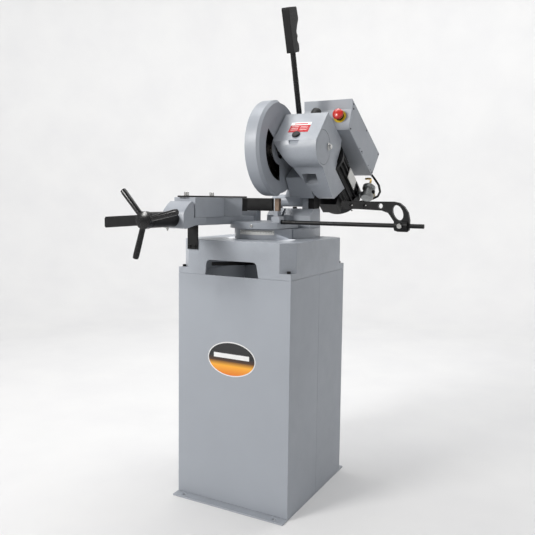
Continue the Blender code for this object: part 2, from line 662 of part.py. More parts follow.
# ---------------------------------------------------------------- guards
def rear_guard(paint, head):
    """Cover fixed to the gearbox: a rim, a right wall with an open front, and a left wall."""
    centre = (BLADE_Y, BLADE_Z)
    lean = 35
    right, left = (0.0230, 0.0255), (-0.0170, -0.0145)
    outer, inner = 0.1555, 0.1530
    profile = [(0.0092, left[0]), (outer, left[0]), (outer, right[1]), (0.040, right[1]), (0.040, right[0]),
               (inner, right[0]), (inner, left[1]), (0.0092, left[1])]
    mesh = bmesh.new()
    add_turned(mesh, profile, "X", centre, 36, -60 + lean, 172)
    guard = finish("rear_guard", mesh, paint, head)
    skin = 0.0002
    combine(guard, "UNION", lambda m: add_turned(
        m, [(0.041, right[0] + skin), (outer - skin, right[0] + skin), (outer - skin, right[1] - skin),
            (0.041, right[1] - skin)], "X", centre, 40, -88 + lean, 232))
    combine(guard, "UNION", lambda m: add_tube(m, 0.045, 0.0095, "X", centre, left[0] + skin, left[1] - skin, 27))
    combine(guard, "UNION", lambda m: add_tube(m, 0.056, 0.036, "X", centre, right[0] + skin, CASE_LEFT - GAP, 29))


def front_guard(paint, head):
    """Swinging crescent over the blade's front, with a bevelled rim, hung on its shoulder bolt."""
    centre = (BLADE_Y, BLADE_Z)
    lean = 35
    bore = 0.0085
    left, right, wall = -0.0220, 0.0295, 0.0026
    profile = [(bore, left), (0.165, left), (0.165, 0.020), (0.157, right), (0.112, right), (0.112, right - wall),
               (0.156, right - wall), (0.165 - wall, 0.0192), (0.165 - wall, left + wall), (bore, left + wall)]
    mesh = bmesh.new()
    add_turned(mesh, profile, "X", centre, 40, GUARD_LOW + lean, GUARD_HIGH - GUARD_LOW)
    guard = finish("front_guard", mesh, paint, head)
    combine(guard, "UNION", lambda m: add_tube(m, 0.030, bore + 0.0004, "X", centre, left + 0.0001,
                                               left + wall - 0.0001, 28))


def guard_bolt(black, head):
    mesh = bmesh.new()
    profile = [(0, -0.0285), (0.013, -0.0285), (0.013, -0.0225), (0.0080, -0.0225), (0.0080, -0.0149),
               (0, -0.0149)]
    add_turned(mesh, profile, "X", (BLADE_Y, BLADE_Z), 20)
    finish("guard_pivot_bolt", mesh, black, head)


# ---------------------------------------------------------------- motor
def motor(black, steel, head):
    worm = (WORM_X, BLADE_Z + WORM_OFFSET)
    mesh = bmesh.new()
    fins = 22
    outline = []
    for fin in range(fins):
        angle = 360 / fins * fin
        outline += arc(worm, MOTOR_R, angle - 1.6, angle + 1.6, 1)
        outline += arc(worm, MOTOR_R - 0.008, angle + 3.2, angle + 360 / fins - 3.2, 1)
    add_prism(mesh, outline, "Y", MOTOR_FRONT + 0.010, MOTOR_REAR)
    frame = finish("motor_frame", mesh, black, head)
    combine(frame, "UNION", lambda m: add_rod(m, MOTOR_R + 0.002, "Y", worm, MOTOR_FRONT, MOTOR_FRONT + 0.012, 36))
    combine(frame, "UNION",
            lambda m: add_block(m, (WORM_X - 0.035, WORM_X + 0.035), (0.058, 0.112), (worm[1] - 0.102, worm[1] - 0.06)))
    combine(frame, "UNION",
            lambda m: add_block(m, (WORM_X - 0.040, WORM_X + 0.040), (-0.055, 0.055), (worm[1] + 0.060, 0.2168)))
    combine(frame, "DIFFERENCE", lambda m: add_rod(m, 0.046, "Y", worm, MOTOR_FRONT + 0.012, MOTOR_REAR + 0.02, 28))
    combine(frame, "DIFFERENCE", lambda m: add_rod(m, 0.014, "Y", worm, MOTOR_FRONT - 0.02, MOTOR_REAR, 20))

    mesh = bmesh.new()
    rear = 0.172
    profile = [(0.0765, MOTOR_REAR + GAP), (0.079, MOTOR_REAR + GAP), (0.079, rear - 0.014), (0.068, rear), (0, rear),
               (0, rear - 0.0025), (0.067, rear - 0.0025), (0.0765, rear - 0.0145)]
    add_turned(mesh, profile[:4] + [(0.012, rear), (0.012, rear - 0.0025)] + profile[6:], "Y", worm, 36)
    finish("fan_cover", mesh, black, head)

    mesh = bmesh.new()
    profile = [(0, MOTOR_FRONT + 0.0065), (0.010, MOTOR_FRONT + 0.0065), (0.010, MOTOR_FRONT + 0.020),
               (0.040, MOTOR_FRONT + 0.020), (0.040, 0.100), (0.010, 0.101), (0.010, 0.1335), (0, 0.1335)]
    add_turned(mesh, profile, "Y", worm, 28)
    finish("motor_rotor", mesh, steel, head)
    mesh = bmesh.new()
    add_rod(mesh, 0.018, "Y", worm, 0.1338, 0.152, 20)
    fan = finish("cooling_fan", mesh, black, head)
    for blade in range(6):
        turn = Matrix.Rotation(math.radians(60 * blade), 4, "Y")

        def vane(m, turn=turn):
            add_block(m, (0.014, 0.066), (0.136, 0.150), (-0.0015, 0.0015))
            move = Matrix.Translation((worm[0], 0, worm[1])) @ turn
            bmesh.ops.transform(m, matrix=move, verts=m.verts)
        combine(fan, "UNION", vane)


# ---------------------------------------------------------------- control box, lever and services
BOX_OUTLINE = [(-0.1363, 0.2122), (-0.1582, 0.2921), (-0.1795, 0.3174), (0.1783, 0.3556), (0.1597, 0.2339)]


def inset(outline, distance):
    """Move each side of a convex outline inwards."""
    count = len(outline)
    middle = Vector((sum(p[0] for p in outline) / count, sum(p[1] for p in outline) / count))
    lines = []
    for index in range(count):
        start, end = Vector(outline[index]), Vector(outline[(index + 1) % count])
        normal = Vector((-(end - start).y, (end - start).x)).normalized()
        if (middle - start).dot(normal) < 0:
            normal = -normal
        lines.append((start + normal * distance, end - start))
    points = []
    for index in range(count):
        (p, d), (q, e) = lines[index - 1], lines[index]
        cross = d.x * e.y - d.y * e.x
        t = ((q - p).x * e.y - (q - p).y * e.x) / cross
        points.append(tuple(p + d * t))
    return points


def control_box(paint, black, yellow, red, head):
    mesh = bmesh.new()
    add_prism(mesh, BOX_OUTLINE, "X", BOX_LEFT, BOX_RIGHT - 0.0026)
    box = finish("control_box", mesh, paint, head)
    combine(box, "DIFFERENCE", lambda m: add_prism(m, inset(BOX_OUTLINE, 0.002), "X", BOX_LEFT + 0.002, 0.25))
    mesh = bmesh.new()
    add_prism(mesh, BOX_OUTLINE, "X", BOX_RIGHT - 0.0023, BOX_RIGHT)
    finish("control_box_cover", mesh, paint, head)
    mesh = bmesh.new()
    add_block(mesh, (0.060, 0.150), (0.000, 0.080), (0.240, 0.300))
    finish("contactor", mesh, black, head)
    low, high = Vector(BOX_OUTLINE[0]), Vector(BOX_OUTLINE[1])
    up = (high - low).normalized()
    spot = low + up * 0.052
    out = Vector((-up.y, up.x))
    # local Z is the panel's outward normal
    turn = Matrix(((1, 0, 0), (0, up.x, out.x), (0, up.y, out.y)))
    if turn.determinant() < 0:
        turn = Matrix(((-1, 0, 0), (0, up.x, out.x), (0, up.y, out.y)))
    seat = empty("estop_axis", (0.182, spot.x, spot.y), turn, head)
    combine(box, "DIFFERENCE", lambda m: add_rod(m, 0.0115, "Z", (0, 0), -0.02, 0.02, 16), seat)
    mesh = bmesh.new()
    add_tube(mesh, 0.0235, 0.0083, "Z", (0, 0), GAP, 0.0022, 24)
    collar = finish("estop_collar", mesh, yellow, seat)
    combine(collar, "UNION", lambda m: add_tube(m, 0.0150, 0.0083, "Z", (0, 0), 0.001, 0.0100, 24))
    mesh = bmesh.new()
    profile = [(0, -0.004), (0.0078, -0.004), (0.0078, 0.0165), (0.0120, 0.0175), (0.0195, 0.0190), (0.0205, 0.0220),
               (0.0185, 0.0275), (0.0110, 0.0315), (0, 0.0330)]
    add_turned(mesh, profile, "Z", (0, 0), 24)
    finish("estop_button", mesh, red, seat)


def lever(black, rubber, head):
    foot = Vector((LEVER_X, *LEVER_FOOT))
    tip = Vector((LEVER_X, *LEVER_TIP))
    way = (tip - foot).normalized()
    length = (tip - foot).length
    # local Z runs up the lever, local Y points to the rear of the saw
    rear = Vector((0, way.z, -way.y))
    turn = Matrix(((1, 0, 0), (0, rear.y, way.y), (0, rear.z, way.z)))
    seat = empty("lever_axis", foot, turn, head)

    mesh = bmesh.new()
    outline = [(-0.222, 0.1925), (-0.168, 0.1945), (-0.172, 0.206), (-0.186, 0.220), (-0.204, 0.218), (-0.218, 0.203)]
    add_prism(mesh, outline, "X", LEVER_X - 0.016, LEVER_X + 0.016)
    bracket = finish("lever_bracket", mesh, black, head)
    combine(bracket, "DIFFERENCE", lambda m: add_rod(m, 0.0098, "Z", (0, 0), 0.0135, 0.08, 16), seat)
    mesh = bmesh.new()
    add_rod(mesh, 0.0095, "Z", (0, 0), 0.014, length + 0.060, 16)
    finish("lever_rod", mesh, black, seat)

    grip_low = length
    mesh = bmesh.new()
    top = grip_low + GRIP_LENGTH
    outline = [(-0.020, grip_low), (0.022, grip_low), (0.027, grip_low + 0.008), (0.027, grip_low + 0.026)]
    for centre in (0.040, 0.066):
        outline += arc((0.029, grip_low + centre), 0.0115, -125, -235, 5)
    outline += [(0.025, grip_low + 0.082), (0.027, grip_low + 0.086), (0.039, grip_low + 0.102),
                (0.042, grip_low + 0.110), (0.037, top - 0.004), (0.033, top), (-0.022, top), (-0.026, top - 0.006)]
    add_prism(mesh, outline, "X", -0.014, 0.014)
    grip = finish("lever_grip", mesh, rubber, seat)
    combine(grip, "DIFFERENCE", lambda m: add_rod(m, 0.0098, "Z", (0, 0), grip_low - 0.01, length + 0.0605, 20))
    combine(grip, "DIFFERENCE",
            lambda m: add_block(m, (-0.0055, 0.0055), (0.018, 0.05), (grip_low + 0.080, grip_low + 0.110)))
    mesh = bmesh.new()
    outline = [(0.0195, grip_low + 0.1065), (0.0300, grip_low + 0.1065), (0.0300, grip_low + 0.098),
               (0.0335, grip_low + 0.088), (0.0330, grip_low + 0.0825), (0.0280, grip_low + 0.086),
               (0.0245, grip_low + 0.096)]
    add_prism(mesh, outline, "X", -0.0045, 0.0045)
    finish("trigger", mesh, black, seat)


def services(steel, black, head):
    """Coolant valve beside the fan cover, and the motor lead from the control box."""
    mesh = bmesh.new()
    profile = [(0, 0.112), (0.021, 0.112), (0.024, 0.116), (0.024, 0.130), (0.019, 0.133), (0.019, 0.150),
               (0.024, 0.153), (0.024, 0.166), (0.018, 0.171), (0, 0.171)]
    add_turned(mesh, profile, "Z", (0.2345, 0.140), 24)
    valve = finish("coolant_valve", mesh, steel, head)
    combine(valve, "UNION", lambda m: add_block(m, (0.2048, 0.225), (0.128, 0.150), (0.120, 0.136)))
    path = [(0.2000, 0.1780, 0.2700), (0.2040, 0.1900, 0.2680), (0.2180, 0.2080, 0.2560), (0.2380, 0.2200, 0.2320),
            (0.2500, 0.2200, 0.2000), (0.2500, 0.2080, 0.1700), (0.2400, 0.1920, 0.1480), (0.2200, 0.1860, 0.1340),
            (0.1900, 0.1870, 0.1280), (0.1600, 0.1870, 0.1278), (0.1250, 0.1850, 0.1278), (0.1250, 0.1725, 0.1278)]
    mesh = bmesh.new()
    add_sweep(mesh, path, 0.0045, 8)
    finish("motor_cable", mesh, black, head)


def main():
    clear_scene()
    paint = material("grey paint", (0.42, 0.45, 0.50), 0.45, 0.0)
    black = material("black oxide", (0.02, 0.02, 0.022), 0.45, 0.4)
    steel = material("machined steel", (0.55, 0.55, 0.55), 0.35, 1.0)
    raw = material("raw steel", (0.20, 0.15, 0.12), 0.5, 0.9)
    bronze = material("bronze", (0.55, 0.38, 0.16), 0.4, 1.0)
    blade_steel = material("dark blade steel", (0.05, 0.045, 0.04), 0.35, 1.0)
    rubber = material("black plastic", (0.015, 0.015, 0.015), 0.6, 0.0)
    yellow = material("yellow plastic", (0.75, 0.55, 0.03), 0.4, 0.0)
    red = material("red plastic", (0.65, 0.03, 0.02), 0.4, 0.0)

    cabinet(paint)
    coolant_tank(paint)
    tray(paint)
    strap(black)
    swivel_lock(black)
    column(steel)
    support(paint)
    hinge_pin(steel)
    spring_set(black, steel)
    stop_bolt(black)
    vise_bed(paint)
    jaws(black, raw)
    vise_slide(paint, steel)
    screw_housing(paint)
    screw_sleeve(black)
    vise_screw(steel, black)
    quick_lever(black)
    work_stop(black, steel)

    head = empty("head_axis", (0, PIVOT_Y, PIVOT_Z), Matrix.Rotation(HEAD_TILT, 3, "X"))
    head_casting(paint, head)
    gear_cover(paint, steel, black, head)
    drive(steel, bronze, blade_steel, head)
    rear_guard(paint, head)
    front_guard(paint, head)
    guard_bolt(black, head)
    motor(black, steel, head)
    control_box(paint, black, yellow, red, head)
    lever(black, rubber, head)
    services(steel, black, head)


main()
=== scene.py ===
"""The looks of a pedestal cold saw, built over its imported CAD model. Metres, +Z up, in the CAD's own frame."""
import json
import math

import bmesh
import bpy
from mathutils import Matrix, Vector

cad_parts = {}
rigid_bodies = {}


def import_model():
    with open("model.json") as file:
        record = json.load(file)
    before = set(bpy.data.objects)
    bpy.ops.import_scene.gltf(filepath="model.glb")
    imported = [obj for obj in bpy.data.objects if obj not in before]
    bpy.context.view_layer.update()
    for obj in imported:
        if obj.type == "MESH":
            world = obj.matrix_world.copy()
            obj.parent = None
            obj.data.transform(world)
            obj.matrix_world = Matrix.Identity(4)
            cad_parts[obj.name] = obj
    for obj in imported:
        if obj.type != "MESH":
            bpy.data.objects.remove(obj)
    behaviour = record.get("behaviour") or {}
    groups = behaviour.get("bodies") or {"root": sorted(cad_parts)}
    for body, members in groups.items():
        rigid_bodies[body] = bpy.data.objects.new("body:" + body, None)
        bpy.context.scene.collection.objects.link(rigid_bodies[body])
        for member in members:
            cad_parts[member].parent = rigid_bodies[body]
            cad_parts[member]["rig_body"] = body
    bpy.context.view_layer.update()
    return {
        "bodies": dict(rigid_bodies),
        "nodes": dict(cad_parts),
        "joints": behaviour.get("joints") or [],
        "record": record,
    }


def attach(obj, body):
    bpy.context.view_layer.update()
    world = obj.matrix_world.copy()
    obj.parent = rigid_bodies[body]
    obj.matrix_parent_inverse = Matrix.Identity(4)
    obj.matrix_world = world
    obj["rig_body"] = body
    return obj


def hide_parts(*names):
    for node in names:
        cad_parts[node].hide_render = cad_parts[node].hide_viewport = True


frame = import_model()

PIECES = []                       # (object, node or "body:NAME", edge radius, smooth)
TOOLS = []                        # hidden solids of the Booleans

# ---------------------------------------------------------------- driving dimensions
GAP = 0.0003                      # clearance between touching pieces

HALF_W = 0.2075                   # cabinet half width, X
HALF_D = 0.219                    # cabinet half depth, Y
SHEET = 0.0025                    # cabinet sheet thickness
FOOT = 0.033                      # foot flange beyond the cabinet, front and rear
BASE_T = 0.005                    # base plate thickness
CABINET_TOP = 0.755
FLANGE_TOP = 0.775                # top of the tray's full-width flange
TRAY_TOP = 0.868
CHAMFER = 0.040                   # 45 degree corner of the tray body
TRAY_WALL = 0.009

RING_R = 0.105                    # graduated ring of the swivelling support
RING_TOP = 0.902
DISC_R = 0.120                    # fixed table disc above the ring
DISC_LOW = 0.9033
DISC_TOP = 0.925
COLUMN_R = 0.030

REST_Z = 0.960                    # where the work lies, and the foot of the jaws
JAW_TOP = 1.005
FIXED_JAW_Y = 0.0603              # clamping face of the fixed jaw
MOVING_JAW_Y = -0.040             # clamping face of the moving jaw at rest
SCREW_X = -0.125
SCREW_Z = 0.938
SCREW_R = 0.009
BED_LOW = 0.9155
BED_TOP = 0.942
BED_FRONT = -0.240

ROD_Y = -0.050                    # work stop rod, along X
ROD_Z = 0.926
ROD_R = 0.0068
ROD_END = 0.562

PIVOT_Y = 0.190                   # head hinge, along X
PIVOT_Z = 0.997
PIN_R = 0.0125
BARREL_R = 0.022
HEAD_TILT = math.radians(-35)     # the head's own frame, leaning back from level

# The head's own frame: x as the world's, y level towards the rear, z up, from the hinge.
BLADE_Y = -0.2144
BLADE_Z = 0.0708
BLADE_R = 0.1375
BLADE_T = 0.0025
WORM_OFFSET = 0.057               # worm above worm wheel
WORM_X = 0.125
MOTOR_R = 0.078
MOTOR_FRONT = -0.0850
MOTOR_REAR = 0.120
CASE_LEFT = 0.0305                # gearbox faces, X
CASE_RIGHT = 0.190
BELLY_R = 0.066
BOX_LEFT = 0.038                  # control box faces, X
BOX_RIGHT = 0.225
LEVER_X = 0.060
LEVER_FOOT = (-0.188, 0.1935)     # y, z on the gearbox roof
LEVER_TIP = (-0.385, 0.351)
GRIP_LENGTH = 0.148

GUARD_LOW = 95                    # front guard's sector, degrees from +Y, 180 faces the operator
GUARD_HIGH = 270
FACE_TOP = Vector((-0.255, 0.189))   # slanted front face of the gearbox, y, z in the head's frame
FACE_LOW = Vector((-0.2775, 0.0515))
STOP_X, STOP_UP = 0.182, 0.052       # stop button on the box's panel: X, and height up the panel
WELD = 0.00003                       # vertices closer than this are one after the Booleans
SHARP = math.radians(32)             # edges above this stay sharp and are bevelled


# ---------------------------------------------------------------- materials
def shader_nodes(name):
    made = bpy.data.materials.new(name)
    made.use_nodes = True
    nodes, links = made.node_tree.nodes, made.node_tree.links
    return made, nodes, links, nodes["Principled BSDF"]


def noise(nodes, links, coords, scale, detail_level, roughness=0.55, stretch=None):
    texture = nodes.new("ShaderNodeTexNoise")
    texture.inputs["Scale"].default_value = scale
    texture.inputs["Detail"].default_value = detail_level
    texture.inputs["Roughness"].default_value = roughness
    source = coords.outputs["Object"]
    if stretch:
        mapping = nodes.new("ShaderNodeMapping")
        mapping.inputs["Scale"].default_value = stretch
        links.new(source, mapping.inputs["Vector"])
        source = mapping.outputs["Vector"]
    links.new(source, texture.inputs["Vector"])
    return texture.outputs["Fac"]


def ramp(nodes, links, value, stops):
    made = nodes.new("ShaderNodeValToRGB")
    band = made.color_ramp
    while len(band.elements) < len(stops):
        band.elements.new(0.5)
    for element, (place_at, colour) in zip(band.elements, stops):
        element.position = place_at
        element.color = (*colour, 1) if len(colour) == 3 else (colour[0],) * 3 + (1,)
    links.new(value, made.inputs["Fac"])
    return made.outputs["Color"]


def mix(nodes, links, kind, amount, first, second):
    made = nodes.new("ShaderNodeMix")
    made.data_type = "RGBA"
    made.blend_type = kind
    if isinstance(amount, float):
        made.inputs["Factor"].default_value = amount
    else:
        links.new(amount, made.inputs["Factor"])
    for value, socket in ((first, made.inputs[6]), (second, made.inputs[7])):
        if isinstance(value, tuple):
            socket.default_value = (*value, 1)
        else:
            links.new(value, socket)
    return made.outputs[2]


def surface(name, colour, rough, metallic=0.0, tint=0.06, tint_scale=7.0, grain_scale=700.0, grain=0.05,
            specks=None, speck_cover=0.68, speck_scale=60.0, stretch=None, coat=0.0):
    """Colour with broad drift, fine speckle, uneven gloss and a grain you can feel."""
    made, nodes, links, shader = shader_nodes(name)
    coords = nodes.new("ShaderNodeTexCoord")
    broad = noise(nodes, links, coords, tint_scale, 4)
    fine = noise(nodes, links, coords, grain_scale, 2, 0.5, stretch)
    dark = tuple(c * (1 - tint) for c in colour)
    light = tuple(min(1, c * (1 + tint)) for c in colour)
    tone = ramp(nodes, links, broad, [(0.30, dark), (0.70, light)])
    mottled = ramp(nodes, links, fine, [(0.35, (1 - tint * 0.6,)), (0.65, (1.0,))])
    tone = mix(nodes, links, "MULTIPLY", 1.0, tone, mottled)
    if specks:
        spots = noise(nodes, links, coords, speck_scale, 6, 0.7)
        cover = ramp(nodes, links, spots, [(speck_cover, (0.0,)), (min(speck_cover + 0.09, 1), (1.0,))])
        tone = mix(nodes, links, "MIX", cover, tone, specks)
    links.new(tone, shader.inputs["Base Color"])
    gloss = ramp(nodes, links, noise(nodes, links, coords, tint_scale * 5, 5),
                 [(0.3, (max(rough - 0.07, 0.02),)), (0.7, (min(rough + 0.08, 1),))])
    links.new(gloss, shader.inputs["Roughness"])
    shader.inputs["Metallic"].default_value = metallic
    shader.inputs["Coat Weight"].default_value = coat
    shader.inputs["Coat Roughness"].default_value = 0.15
    bump = nodes.new("ShaderNodeBump")
    bump.inputs["Strength"].default_value = grain * 4
    bump.inputs["Distance"].default_value = 0.0004
    links.new(fine, bump.inputs["Height"])
    links.new(bump.outputs["Normal"], shader.inputs["Normal"])
    return made


def badge_surface(name):
    """Plain two-tone enamel: charcoal with a soft amber glow along the lower half."""
    made, nodes, links, shader = shader_nodes(name)
    coords = nodes.new("ShaderNodeTexCoord")
    split = nodes.new("ShaderNodeSeparateXYZ")
    links.new(coords.outputs["Object"], split.inputs["Vector"])
    height = nodes.new("ShaderNodeMapRange")
    height.inputs["From Min"].default_value = BADGE_Z - BADGE_HALF[1]
    height.inputs["From Max"].default_value = BADGE_Z + BADGE_HALF[1]
    links.new(split.outputs["Z"], height.inputs["Value"])
    tone = ramp(nodes, links, height.outputs["Result"],
                [(0.0, (0.62, 0.13, 0.01)), (0.30, (0.80, 0.36, 0.03)), (0.44, (0.06, 0.025, 0.01)),
                 (0.56, (0.012, 0.012, 0.013)), (1.0, (0.02, 0.02, 0.022))])
    links.new(tone, shader.inputs["Base Color"])
    shader.inputs["Roughness"].default_value = 0.25
    return made


PAINT_COLOUR = (0.305, 0.327, 0.362)
paint = surface("cabinet enamel", PAINT_COLOUR, 0.42, 0, 0.035, 3.0, 900, 0.04, (0.24, 0.25, 0.27), 0.74, 30)
cast = surface("casting enamel", (0.315, 0.338, 0.374), 0.38, 0, 0.07, 9.0, 260, 0.09, (0.16, 0.155, 0.15),
               0.71, 42)
black = surface("black oxide", (0.007, 0.007, 0.0075), 0.40, 0, 0.25, 14, 500, 0.08, (0.030, 0.028, 0.026),
                0.72, 120)
gloss_black = surface("black enamel", (0.005, 0.005, 0.0055), 0.26, 0, 0.2, 20, 600, 0.05, coat=0.25)
motor_black = surface("motor enamel", (0.006, 0.006, 0.0065), 0.40, 0, 0.25, 16, 320, 0.12,
                      (0.024, 0.023, 0.022), 0.72, 60)
steel = surface("turned steel", (0.50, 0.50, 0.49), 0.28, 1.0, 0.12, 20, 900, 0.06, (0.30, 0.27, 0.24), 0.72,
                70,
                (1, 0.15, 0.15))
zinc = surface("zinc plate", (0.62, 0.62, 0.60), 0.22, 1.0, 0.10, 60, 800, 0.04)
raw = surface("worn steel", (0.23, 0.165, 0.125), 0.46, 0.75, 0.22, 60, 600, 0.12, (0.10, 0.06, 0.04), 0.60,
              120)
bronze = surface("cast bronze", (0.50, 0.33, 0.14), 0.35, 1.0, 0.1, 30, 500, 0.05)
brass = surface("brass", (0.60, 0.42, 0.17), 0.27, 1.0, 0.12, 60, 700, 0.04)
blade_steel = surface("blade steel", (0.060, 0.052, 0.044), 0.30, 0.9, 0.25, 22, 900, 0.06, (0.12, 0.10, 0.08),
                      0.62, 50)
valve_metal = surface("die-cast metal", (0.30, 0.31, 0.31), 0.38, 0.8, 0.2, 50, 500, 0.12, (0.06, 0.06, 0.06),
                      0.60, 90)
plastic = surface("black plastic", (0.008, 0.008, 0.0085), 0.46, 0, 0.15, 30, 1400, 0.10)
rubber = surface("rubber", (0.011, 0.011, 0.011), 0.62, 0, 0.2, 40, 900, 0.1)
yellow = surface("yellow plastic", (0.72, 0.50, 0.02), 0.35, 0, 0.06, 40, 900, 0.03)
red = surface("red plastic", (0.50, 0.018, 0.010), 0.30, 0, 0.08, 40, 900, 0.03, coat=0.3)
label_red = surface("red label", (0.46, 0.004, 0.008), 0.45, 0, 0.04, 40, 900, 0.01)
label_white = surface("white label", (0.72, 0.72, 0.72), 0.32, 0, 0.03, 40, 900, 0.01, coat=0.3)
scale_white = surface("scale enamel", (0.62, 0.62, 0.60), 0.40, 0, 0.06, 60, 900, 0.02, (0.35, 0.34, 0.32),
                      0.68, 160)
tan_hose = surface("coolant hose", (0.36, 0.31, 0.20), 0.40, 0, 0.1, 40, 900, 0.03)
BADGE_Z = 0.487
BADGE_HALF = (0.089, 0.0565)
badge = badge_surface("badge enamel")
for dark in (black, gloss_black, motor_black, plastic, rubber, label_red):
    dark.node_tree.nodes["Principled BSDF"].inputs["Specular IOR Level"].default_value = 0.24


# ---------------------------------------------------------------- tools
def empty(name, location, rotation=None, parent=None):
    made = bpy.data.objects.new(name, None)
    bpy.context.scene.collection.objects.link(made)
    made.parent = parent
    made.matrix_local = Matrix.Translation(location) @ (rotation or Matrix()).to_4x4()
    return made


def place(axis, u, v, along):
    """A point from its two outline values and its distance along the axis."""
    if axis == "X":
        return Vector((along, u, v))
    if axis == "Y":
        return Vector((u, along, v))
    return Vector((u, v, along))


def add_prism(mesh, outline, axis, low, high):
    """Extrude an outline, given in the two other axes' order, from low to high along the axis."""
    floor = mesh.faces.new([mesh.verts.new(place(axis, u, v, low)) for u, v in outline])
    grown = bmesh.ops.extrude_face_region(mesh, geom=[floor])["geom"]
    moved = [item for item in grown if isinstance(item, bmesh.types.BMVert)]
    bmesh.ops.translate(mesh, verts=moved, vec=place(axis, 0, 0, high - low))


def add_block(mesh, x, y, z):
    add_prism(mesh, [(x[0], y[0]), (x[1], y[0]), (x[1], y[1]), (x[0], y[1])], "Z", *z)


def add_turned(mesh, profile, axis, centre, segments=24, start=0.0, sweep=360.0):
    """Turn a profile of (radius, distance along axis) points. A full turn closes on itself; a part turn is
    capped. A profile that starts and ends on the axis is solid, any other is a closed ring section."""
    if segments > 8:
        segments = max(segments * 2, 40) if sweep >= 360 else segments * 2
    solid = profile[0][0] == 0 and profile[-1][0] == 0
    full = sweep >= 360.0
    steps = segments if full else segments + 1
    rings = []
    for step in range(steps):
        angle = math.radians(start + sweep * step / segments)
        ring = []
        for index, (radius, along) in enumerate(profile):
            if radius == 0 and step:
                ring.append(rings[0][index])
                continue
            u = centre[0] + radius * math.cos(angle)
            v = centre[1] + radius * math.sin(angle)
            ring.append(mesh.verts.new(place(axis, u, v, along)))
        rings.append(ring)
    count = len(profile)
    for step in range(segments):
        here, there = rings[step], rings[(step + 1) % steps]
        for index in range(count - 1 if solid else count):
            after = (index + 1) % count
            corners = [here[index], here[after], there[after], there[index]]
            unique = list(dict.fromkeys(corners))
            if len(unique) > 2:
                mesh.faces.new(unique)
    if not full:
        mesh.faces.new(rings[0])
        mesh.faces.new(rings[-1])


def add_tube(mesh, outer, inner, axis, centre, low, high, segments=24):
    add_turned(mesh, [(inner, low), (outer, low), (outer, high), (inner, high)], axis, centre, segments)


def add_rod(mesh, radius, axis, centre, low, high, segments=24):
    add_turned(mesh, [(0, low), (radius, low), (radius, high), (0, high)], axis, centre, segments)


def add_sweep(mesh, points, radius, sides):
    """A round bar through the points, capped at both ends."""
    points = [Vector(p) for p in points]
    rings = []
    reference = None
    for index, point in enumerate(points):
        way = (points[min(index + 1, len(points) - 1)] - points[max(index - 1, 0)]).normalized()
        if reference is None:
            reference = way.orthogonal()
        across = (reference - way * reference.dot(way)).normalized()
        reference = across
        other = way.cross(across)
        rings.append([mesh.verts.new(point + across * radius * math.cos(2 * math.pi * side / sides)
                                     + other * radius * math.sin(2 * math.pi * side / sides))
                      for side in range(sides)])
    for here, there in zip(rings, rings[1:]):
        for side in range(sides):
            after = (side + 1) % sides
            mesh.faces.new([here[side], here[after], there[after], there[side]])
    mesh.faces.new(rings[0])
    mesh.faces.new(rings[-1])


def finish(name, mesh, surface, parent=None, smooth=True, edge=0.0009):
    """Turn the mesh into one object that stands for the CAD node of the same name."""
    bmesh.ops.recalc_face_normals(mesh, faces=mesh.faces)
    data = bpy.data.meshes.new(name + "_fine")
    mesh.to_mesh(data)
    mesh.free()
    made = bpy.data.objects.new(name + "_fine", data)
    bpy.context.scene.collection.objects.link(made)
    made.parent = parent
    if surface:
        data.materials.append(surface)
        PIECES.append((made, name, edge, smooth))
    return made


def make(name, surface, parent, build, *shape, **looks):
    """One piece from a single solid: build(mesh, *shape)."""
    mesh = bmesh.new()
    build(mesh, *shape)
    return finish(name, mesh, surface, parent, **looks)


def detail(name, mesh, surface, body, parent=None, edge=0.0004):
    """A small visible piece with no CAD node of its own; it rides on a body."""
    made = finish(name, mesh, surface, parent, True, edge)
    PIECES[-1] = (made, "body:" + body, edge, True)
    return made


def trim(name, surface, body, parent, build, *shape, **looks):
    """One detail from a single solid: build(mesh, *shape)."""
    mesh = bmesh.new()
    build(mesh, *shape)
    return detail(name, mesh, surface, body, parent, **looks)


def combine(target, operation, builder, parent=None):
    """Add to or cut from the target with a solid made by builder(mesh)."""
    mesh = bmesh.new()
    builder(mesh)
    bmesh.ops.recalc_face_normals(mesh, faces=mesh.faces)
    data = bpy.data.meshes.new("tool")
    mesh.to_mesh(data)
    mesh.free()
    tool = bpy.data.objects.new("tool", data)
    bpy.context.scene.collection.objects.link(tool)
    tool.parent = parent or target.parent
    tool.hide_render = True
    change = target.modifiers.new(f"step {len(target.modifiers)}", "BOOLEAN")
    change.operation = operation
    change.solver = "EXACT"
    change.object = tool
    TOOLS.append(tool)
    return tool


def fuse(target, build, *shape):
    combine(target, "UNION", lambda mesh: build(mesh, *shape))


def cut(target, build, *shape):
    combine(target, "DIFFERENCE", lambda mesh: build(mesh, *shape))


def arc(centre, radius, start, end, steps):
    """Points on an arc, in degrees, both ends included."""
    points = []
    for step in range(steps + 1):
        angle = math.radians(start + (end - start) * step / steps)
        points.append((centre[0] + radius * math.cos(angle), centre[1] + radius * math.sin(angle)))
    return points


def rectangle(u, v):
    return [(u[0], v[0]), (u[1], v[0]), (u[1], v[1]), (u[0], v[1])]


def chamfered(half_u, half_v, cut):
    """A rectangle about the origin with its four corners cut at 45 degrees."""
    return [
        (half_u - cut, -half_v), (half_u, cut - half_v), (half_u, half_v - cut), (half_u - cut, half_v),
        (cut - half_u, half_v), (-half_u, half_v - cut), (-half_u, cut - half_v), (cut - half_u, -half_v),
    ]


